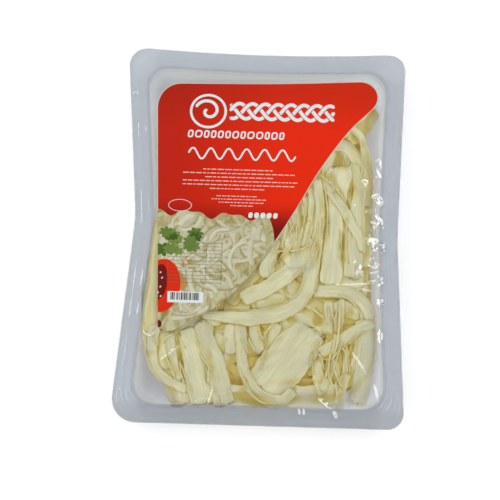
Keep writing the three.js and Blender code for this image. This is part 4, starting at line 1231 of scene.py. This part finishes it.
# One fold: a ridge with even flanks that stands on the film, its top line as high as slope x flank. A
# flank that faces the near edge is steeper than one that faces the far edge, by 0.1 each way, so that
# both mirror a soft box.
def foldRings(path, width, draw):
    right, least, most, factor = film["wider"]
    if np.min(path, axis=0)[0] > right and least <= width < most:
        width = round(factor * width, 2)
    line, slope, along = smoothPath(path, 0.4)
    toEnd = np.minimum(along, along[-1] - along) / (0.3 * along[-1])
    flank = 2.5 * width * (0.3 + 0.7 * smoothStep(toEnd, 0, 1)) * (1 + 0.1 * sway(draw, along, 7))
    u = np.array([-1, -0.92, -0.15, 0, 0.15, 0.92, 1, 0.6, -0.6])
    x = line[:, :1] - slope[:, 1:2] * flank[:, None] * u
    y = line[:, 1:2] + slope[:, :1] * flank[:, None] * u
    level, _, _ = filmPoints(insetAt(*line.T), *line.T)
    level = np.polyval(np.polyfit(along, level, 1), along)
    steep = film["foldSlope"] - film["foldLean"] * slope[:, :1] * np.sign(u)
    z = level[:, None] + 0.35 + film["foldSlope"] * flank[:, None] - steep * flank[:, None] * np.abs(u)
    z[:, 7:] = level[:, None] - 0.25
    return np.stack([x, y, z], axis=-1), np.zeros(len(u))


lidFilm = makeFilm()
foldDraw = np.random.default_rng(41)
foldPiece = addBands("lidFolds", [foldRings(path, width, foldDraw) for path, width in filmFolds], smooth=True)
clearFilm = filmMaterial("clearFilm", **filmLook)
for piece in (lidFilm, foldPiece):
    finishPiece(piece, clearFilm, "film")


# Print: thin layers of colour on the film, with a plain design of its own: a plaited band, a ring,
# rows of dashes, and a picture field of pale strands with leaves and red slices

printLayers = {"low": 19.15, "sheet": 19.18, "field": 19.21, "picture": 19.235, "strands": 19.245,
               "marks": 19.24, "step": 0.0024, "over": 19.57}
printDesign = {
    # left, right, middle, reach, wavelength and width
    "plait": (-31, 58, 106, 6.6, 33, 3.0), "wave": (-65, 26, 68.5, 4.6, 15.2, 1.5),
    # centre, reaches and the reaches of what is left open inside
    "ring": ((-49.3, 105.2), (15.8, 15.0), (13.7, 12.9)), "oval": ((-70.4, 23.4), (9.9, 5.2), (9.4, 4.7)),
    # left, right, bottom and top
    "links": (-66, 16.5, 82.0, 88.6), "dashes": (-12.5, 12, 14.2, 19.0),
    # left and right of each thin row, counted downwards
    "upperRows": [(-52, 9), (-69, 27), (-50, 8), (-69, 28), (-69, 26), (-46, 2)],
    "lowerRows": [(-40, -6), (-44, 4), (-38, 0), (-28, -8)],
    "seeds": [(-84.5, -34), (-83, -38.5), (-84.2, -46), (-86, -51), (-83.6, -54)],
    "table": (-79, -42, -33.5, -8.0), "box": (-78.0, -58.8, -48.1, -49.6),  # left, bottom, right and top
}


# A closed outline moved inwards by a distance, along the mean normal of its two sides
def shrink(outline, distance):
    ahead = np.roll(outline, -1, axis=0) - np.roll(outline, 1, axis=0)
    ahead /= np.linalg.norm(ahead, axis=1)[:, None]
    return outline + distance * np.stack([-ahead[:, 1], ahead[:, 0]], axis=1)


# Flat closed prisms, each from an outline walked counter-clockwise, a floor and a top level
def addPrisms(name, shapes):
    points, groups, tones, first = [], [], [], 0
    for outline, low, top, tone in shapes:
        count = len(outline)
        for level in (top, low):
            points.append(np.column_stack([outline, np.full(count, level)]))
        ring = np.arange(count)
        groups.append(first + ring[None])
        groups.append(first + count + ring[None, ::-1])
        groups.append(ringFaces(2, count, first)[:, ::-1])
        tones.append(np.full(2 * count, tone))
        first += 2 * count
    piece = addMesh(name, np.concatenate(points), groups, smooth=False)
    addValues(piece, "tone", np.concatenate(tones))
    return piece


# A bar with quarter circles at its corners, leaning by lean x the height above its middle
def roundedBar(left, bottom, right, top, radius, lean=0.0):
    centres = [(right - radius, top - radius), (left + radius, top - radius),
               (left + radius, bottom + radius), (right - radius, bottom + radius)]
    turn = np.linspace(0, math.pi / 2, 5)
    turns = [turn + k * math.pi / 2 for k in range(4)]
    outline = np.concatenate([np.array(centre) + radius * np.stack([np.cos(angle), np.sin(angle)], 1)
                              for centre, angle in zip(centres, turns)])
    outline[:, 0] += lean * (outline[:, 1] - (top + bottom) / 2)
    return outline


# An oval (x + reachX cos, y + reachY sin), turned about its centre
def ovalOutline(x, y, reachX, reachY, turned=0.0, count=48):
    angle = np.arange(count) / count * 2 * math.pi
    dx, dy = reachX * np.cos(angle), reachY * np.sin(angle)
    c, s = math.cos(turned), math.sin(turned)
    return np.stack([x + dx * c - dy * s, y + dx * s + dy * c], axis=1)


# Surface of a printed ink. The thin ink lets part of the light through to the cheese below it.
def finishInk(tree, colour, roughness):
    surface = addNode(tree, "BsdfPrincipled", {"Base Color": colour},
                      {"Roughness": roughness, "Specular IOR Level": 0.3})
    through = addNode(tree, "BsdfTransparent", values={"Color": (1, 0.995, 0.985, 1)})
    toLamp = times(tree, addNode(tree, "LightPath").outputs["Is Shadow Ray"], 0.95)
    ink = addNode(tree, "MixShader", {0: toLamp, 1: surface.outputs[0], 2: through.outputs[0]})
    finishMaterial(tree, ink)


# The red lightens from left to right, and darkens up to the top and down to the picture field
def redMaterial():
    material, tree = newMaterial("printedRed")
    apart = addNode(tree, "SeparateXYZ", {0: placeOf(tree)}).outputs
    aside = stepOn(tree, apart["X"], -0.09, 0.03)
    down, up = stepOn(tree, apart["Y"], 0.031, 0.002), stepOn(tree, apart["Y"], 0.085, 0.128)
    plain = mixColours(tree, aside, shown(180, 30, 9), shown(219, 38, 4))
    darker = mixColours(tree, aside, shown(162, 28, 9), shown(193, 36, 6))
    finishInk(tree, mixColours(tree, down, mixColours(tree, up, plain, darker), shown(112, 12, 6)), 0.32)
    return material


# Ink whose tone attribute picks between two colours, with the slight unevenness of a printed dot
def inkMaterial(name, first, second):
    material, tree = newMaterial(name)
    noise = noiseOn(tree, placeOf(tree), (300, 300, 300), detail=2.0)
    uneven = times(tree, addMath(tree, "SUBTRACT", noise, 0.5), 0.3)
    share = addNode(tree, "Clamp", {"Value": plus(tree, attributeOf(tree, "tone"), uneven)}).outputs[0]
    finishInk(tree, mixColours(tree, share, shown(*first), shown(*second)), 0.32)
    return material


# Ground of the picture field: shadow between the strands, from olive to a dull cream
def pictureMaterial():
    material, tree = newMaterial("printedGround")
    noise = noiseOn(tree, placeOf(tree), (140, 90, 100), detail=3.0, distortion=1.2)
    ramp = addNode(tree, "ValToRGB", {"Fac": noise})
    stops = ramp.color_ramp.elements
    stops[0].position, stops[0].color = 0.3, shown(140, 124, 62)
    stops[1].position, stops[1].color = 0.62, shown(186, 182, 146)
    finishInk(tree, ramp.outputs["Color"], 0.35)
    return material


# Upper edge of the picture field: soft humps that fall away to the slanted side
def pictureEdge(x):
    humps = 15.5 + 2.3 * np.sin(x / 5.3 + 0.6) + 1.4 * np.sin(x / 2.7 + 2.0) + 2.5 * smoothStep(-x, 30, 80)
    return humps - 26 * smoothStep(x, 3.0, 15.5)


# The picture field: the print's outline where it lies below the upper edge, closed along that edge
def pictureOutline():
    edge = shrink(labelOutline, 0.06)
    below = edge[:, 1] < pictureEdge(edge[:, 0])
    start = np.flatnonzero(below & ~np.roll(below, 1))[0]
    rolled = np.roll(edge, -start, axis=0)
    kept = rolled[: np.flatnonzero(~np.roll(below, -start))[0]]
    x = np.linspace(kept[-1, 0], kept[0, 0], 90)[1:-1]
    return np.concatenate([kept, np.stack([x, pictureEdge(x)], axis=1)])


# A flat band along a path of (x, y, level), with rounded ends and a hair's thickness
def flatBand(path, width, tone, shade=0.0, step=1.5, thick=0.004, side=0.0):
    line, slope, along = smoothPath(path, step)
    toEnd = np.minimum(along, along[-1] - along) / (width * 0.6)
    half = width / 2 * np.sqrt(np.clip(1 - (1 - np.clip(toEnd, 0, 1)) ** 2, 0.05, 1))
    u = np.array([-1, -0.7, -0.3, 0.3, 0.7, 1, 0.5, -0.5])
    x = line[:, :1] - slope[:, 1:2] * half[:, None] * u
    y = line[:, 1:2] + slope[:, :1] * half[:, None] * u
    z = line[:, 2:3] - thick * np.array([0, 0, 0, 0, 0, 0, 1, 1])
    darker = shade * np.clip(np.abs(u) ** 2.5 + side * u, 0, 1.6)
    return np.stack([x, y, z], axis=-1), np.clip(tone - darker, 0, 1)


# Strands of the picture: drawn arcs that stay inside the field, long and wide ones first, each on
# its own level and darker towards one side
def pictureStrands(field, count, seed):
    draw = np.random.default_rng(seed)
    bands = []
    for _ in range(count * 14):
        done = len(bands) / count
        middle = np.array([draw.uniform(-88, 12), draw.uniform(-80, 16)])
        around = math.atan2(middle[1] + 12, middle[0] + 22) + math.pi / 2
        heading, bend = around + draw.normal(0, 0.75), draw.uniform(0.3, 2.0) * draw.choice([1, 1, -1])
        length = draw.uniform(20, 56) * (1 - 0.45 * done)
        turns = heading + bend * np.linspace(-0.5, 0.5, 5)
        steps = length / 5 * np.stack([np.cos(turns), np.sin(turns)], axis=1)
        path = middle + np.cumsum(steps, axis=0) - steps.sum(axis=0) / 2
        width = draw.uniform(4.5, 11) * (1 - 0.7 * done)
        if distanceTo(field, path[:, 0], path[:, 1]).max() > -width / 2 - 0.4:
            continue
        level = printLayers["strands"] + printLayers["step"] * (len(bands) + 1)
        bands.append(flatBand(np.column_stack([path, np.full(5, level)]), width, draw.uniform(0.6, 1.0),
                              draw.uniform(0.3, 0.6), side=draw.choice([-0.8, 0.8])))
        if len(bands) == count:
            break
    return bands


# Plait of three strands: y = reach x sin(angle), and the level = rise x sin(2 x angle), so that each
# passes over one neighbour and under the other. Each has a darker, wider band just below it.
def plait(left, right, middle, reach, wavelength, width):
    white, border = [], []
    x = np.linspace(left, right, 61)
    for strand in range(3):
        angle = 2 * math.pi * ((x - left) / wavelength + strand / 3)
        level = printLayers["marks"] + 0.06 + 0.04 * np.sin(2 * angle)
        path = np.stack([x, middle + reach * np.sin(angle), level], axis=1)
        white.append(flatBand(path, width, 1.0, step=0.8))
        path = path - [0, 0, 0.012]
        border.append(flatBand(path[1:-1], width + 1.5, 0.0, step=0.8))
    return white, border


# Row of short leaning dashes between two ends, their lengths and gaps drawn
def dashRow(left, right, bottom, top, draw, lengths, gap, lean, low, high):
    shapes, x = [], left
    while x < right - lengths[0]:
        end = min(right, x + draw.uniform(*lengths))
        radius = 0.42 * min(top - bottom, end - x)
        shapes.append((roundedBar(x, bottom, end, top, radius, lean), low, high, 1.0))
        x = end + gap
    return shapes


# Outline of a leaf with pointed lobes, kept right of the print's left edge
def leafOutline(x, y, reach, turned):
    angle = np.arange(42) / 42 * 2 * math.pi
    away = reach * (0.62 + 0.38 * np.abs(np.cos(3.5 * angle)))
    around = angle + turned
    return keptInside(np.stack([x + away * np.cos(around), y + 0.8 * away * np.sin(around)], axis=1))


# Keeps an outline right of the line along the print's left edge
def keptInside(outline):
    edgeX = -85.4 - 7.6 * (outline[:, 1] + 75) / 182 + 0.3
    return np.stack([np.maximum(outline[:, 0], edgeX), outline[:, 1]], axis=1)


# A piece of the print with its ink
def finishPrint(piece, material):
    finishPiece(piece, material, "print")


# All layers of the print, from the lowest to the highest
def makePrint():
    levels, design, draw = printLayers, printDesign, np.random.default_rng(12)
    low, high, over = levels["low"], levels["marks"], levels["over"]
    red = redMaterial()
    whiteInk = inkMaterial("printedMarks", (190, 197, 197), (212, 219, 218))
    finishPrint(addPrisms("printSheet", [(labelOutline, low - 0.01, levels["sheet"], 1.0)]),
                inkMaterial("printedBorder", (176, 176, 168), (196, 194, 184)))
    finishPrint(addPrisms("printField", [(shrink(labelOutline, 0.55), low, levels["field"], 1.0)]), red)
    outline = pictureOutline()
    finishPrint(addPrisms("printPicture", [(outline, low + 0.01, levels["picture"], 1.0)]), pictureMaterial())
    finishPrint(addBands("printStrands", pictureStrands(outline, 120, 4)),
                inkMaterial("printedCream", (144, 132, 70), (200, 199, 178)))

    # a plaited band beside a ring with a curl, a row of open links, and a waved line
    plaited, borders = plait(*design["plait"])
    waved, _ = plait(*design["wave"])
    finishPrint(addBands("printPlaitEdge", borders), red)
    (ringX, ringY), ringReach, ringInside = design["ring"]
    oval, ovalReach, ovalInside = design["oval"]
    bars = dashRow(*design["links"], draw, (4.2, 6.4), 1.3, 0.12, low, high)
    marks = [*bars, (ovalOutline(ringX, ringY, *ringReach, count=72), low, high, 1.0),
             (ovalOutline(*oval, *ovalReach), low, high, 0.4)]
    marks += dashRow(*design["dashes"], draw, (3, 5), 1.4, 0.1, low, high)
    finishPrint(addPrisms("printMarks", marks), whiteInk)
    inner = [(shrink(bar[0], 1.35), low, high + 0.01, 0.0) for bar in bars]
    inner += [(ovalOutline(ringX, ringY, *ringInside, count=72), low, high + 0.01, 0.0),
              (ovalOutline(*oval, *ovalInside), low, high + 0.01, 0.0)]
    finishPrint(addPrisms("printRings", inner), red)
    curl = np.linspace(0, 2.2 * math.pi, 30)
    spiral = np.stack([ringX + (1.5 + 1.4 * curl) * np.cos(curl + 2.2),
                       ringY + (1.5 + 1.3 * curl) * np.sin(curl + 2.2), np.full(30, high + 0.03)], axis=1)
    curled = flatBand(spiral, 2.6, 1.0, step=0.8)
    finishPrint(addBands("printPlait", [*plaited, waved[0], curled]), whiteInk)

    # thin rows of short dashes in a paler red
    small = []
    for row, (left, right) in enumerate(design["upperRows"]):
        small += dashRow(left, right, 54.6 - 3.3 * row, 55.5 - 3.3 * row, draw, (1.6, 6), 0.8, 0.2, low, high)
    for row, (left, right) in enumerate(design["lowerRows"]):
        small += dashRow(left, right, 32 - 2.7 * row, 32.8 - 2.7 * row, draw, (1.5, 5), 0.7, 0.1, low, high)
    finishPrint(addPrisms("printSmallRows", small),
                inkMaterial("printedPale", (212, 128, 112), (214, 172, 162)))

    # leaves, a warm glow and slices, on top of the picture
    leafDraw = np.random.default_rng(9)
    leaves = []
    for k in range(15):
        x, y = leafDraw.uniform(-85, -54), leafDraw.uniform(-17, 2)
        leaves.append((leafOutline(x, y, leafDraw.uniform(4.5, 7.5), leafDraw.uniform(0, 3.1)),
                       over - 0.02, over + 0.004 * k, leafDraw.uniform(0, 1)))
    finishPrint(addPrisms("printLeaves", leaves), inkMaterial("printedGreen", (58, 84, 28), (112, 136, 62)))
    glow = [(ovalOutline(-64, -34, 5.0, 15, -0.15), 19.2, levels["strands"] + 0.15, 0.5)]
    finishPrint(addPrisms("printWarm", glow), inkMaterial("printedWarm", (162, 118, 60), (186, 146, 88)))
    slices = [(keptInside(ovalOutline(-83, -45, 15.5, 22.5, -0.1)), over - 0.03, over - 0.02, 1.0),
              (keptInside(ovalOutline(-85, -42, 6.5, 15.0, -0.1)), over - 0.03, over - 0.01, 0.0),
              (keptInside(ovalOutline(-85, -77, 3.2, 3.2)), over - 0.03, over - 0.01, 0.0)]
    finishPrint(addPrisms("printSlices", slices), inkMaterial("printedTomato", (104, 18, 10), (206, 40, 10)))

    # an empty table, and a box with stripes of drawn width
    seeds = [(ovalOutline(x, y, 0.9, 0.6, 0.9, 12), over - 0.03, over, 0.8) for x, y in design["seeds"]]
    left, bottom, right, top = design["table"]
    lines = [(roundedBar(left, y, right, y + 0.28, 0.1), over, over + 0.1, 0.5)
             for y in np.linspace(bottom, -8.3, 12)]
    lines += [(roundedBar(x, bottom, x + 0.3, top, 0.1), over, over + 0.105, 0.5) for x in (left, -47, -33.8)]
    box = [(roundedBar(*design["box"], 0.3), over, over + 0.12, 1.0)]
    x = -75.5
    while x < -51.5:
        width = float(draw.choice([0.5, 0.5, 0.9, 1.3]))
        lines.append((roundedBar(x, -56.6, x + width, -50.4, 0.05), over, over + 0.13, 0.1))
        x += width + float(draw.choice([0.45, 0.45, 0.8, 1.2]))
    finishPrint(addPrisms("printBox", box + seeds), whiteInk)
    finishPrint(addPrisms("printLines", lines), inkMaterial("printedBlack", (52, 46, 40), (128, 120, 92)))
    print("print laid", len(leaves) + len(marks) + len(small) + len(lines))


makePrint()


# Floor and light

# A square plane
def addPlane(name, size, height, material):
    half = size / 2
    corners = np.array([(x * half, y * half, height) for x, y in ((-1, -1), (1, -1), (1, 1), (-1, 1))])
    piece = addMesh(name, corners, [np.arange(4)[None]], smooth=False)
    piece.data.materials.append(material)
    return piece


# Pale floor with a slow unevenness of tone
def floorMaterial():
    material, tree = newMaterial("paleFloor")
    noise = addNode(tree, "TexNoise", {"Vector": placeOf(tree)}, {"Scale": 3.0, "Detail": 2.0}).outputs["Fac"]
    colour = mixColours(tree, noise, (0.93, 0.93, 0.93, 1), (0.96, 0.96, 0.96, 1))
    surface = addNode(tree, "BsdfPrincipled", {"Base Color": colour, "Emission Color": colour},
                      {"Roughness": 0.8, "Specular IOR Level": 0.1, "Emission Strength": 0.18})
    finishMaterial(tree, surface)
    return material


addPlane("floor", 8000, -0.05, floorMaterial())

world = bpy.data.worlds.new("studio")
bpy.context.scene.world = world
world.use_nodes = True
world.node_tree.nodes.clear()
background = addNode(world.node_tree, "Background", values={"Color": (0.93, 0.96, 1.0, 1), "Strength": 0.12})
addNode(world.node_tree, "OutputWorld", {"Surface": background.outputs[0]})

# Soft boxes: name, azimuth (0 towards -Y, 90 towards +X), elevation, distance in metres and power
softBoxes = [
    ("keyLeft", -92, 42, 1.9, 24.3), ("keyRight", 90, 42, 1.9, 19.5),
    ("backTop", 180, 44, 2.0, 17.5), ("frontLow", 0, 40, 2.0, 13.5),
]
softBoxSize = (3.0, 0.55)
for name, azimuth, elevation, far, power in softBoxes:
    light = bpy.data.lights.new(name, "AREA")
    light.shape, light.energy = "RECTANGLE", power
    light.size, light.size_y = softBoxSize
    lamp = bpy.data.objects.new(name, light)
    azimuth, elevation = math.radians(azimuth), math.radians(elevation)
    away = np.array([math.sin(azimuth) * math.cos(elevation), -math.cos(azimuth) * math.cos(elevation),
                     math.sin(elevation)])
    lamp.location = away * far
    lamp.rotation_euler = Vector(away).to_track_quat("Z", "Y").to_euler()
    bpy.context.scene.collection.objects.link(lamp)


# The camera at its place, along its axes
def makeCamera():
    right, up, back, place = cameraAxes()
    camera = bpy.data.cameras.new("camera")
    camera.lens, camera.sensor_width = shot["lens"], shot["sensor"]
    camera.shift_x, camera.shift_y = shot["shift"]
    camera.clip_start, camera.clip_end = 0.05, 20
    holder = bpy.data.objects.new("camera", camera)
    turned = Matrix((right, up, back)).transposed().to_4x4()
    holder.matrix_world = Matrix.Translation(place * mm) @ turned
    bpy.context.scene.collection.objects.link(holder)
    bpy.context.scene.camera = holder


makeCamera()
bpy.context.scene.view_settings.view_transform = "Standard"
bpy.context.scene.view_settings.exposure = 0.0
bpy.context.scene.cycles.use_denoising = True
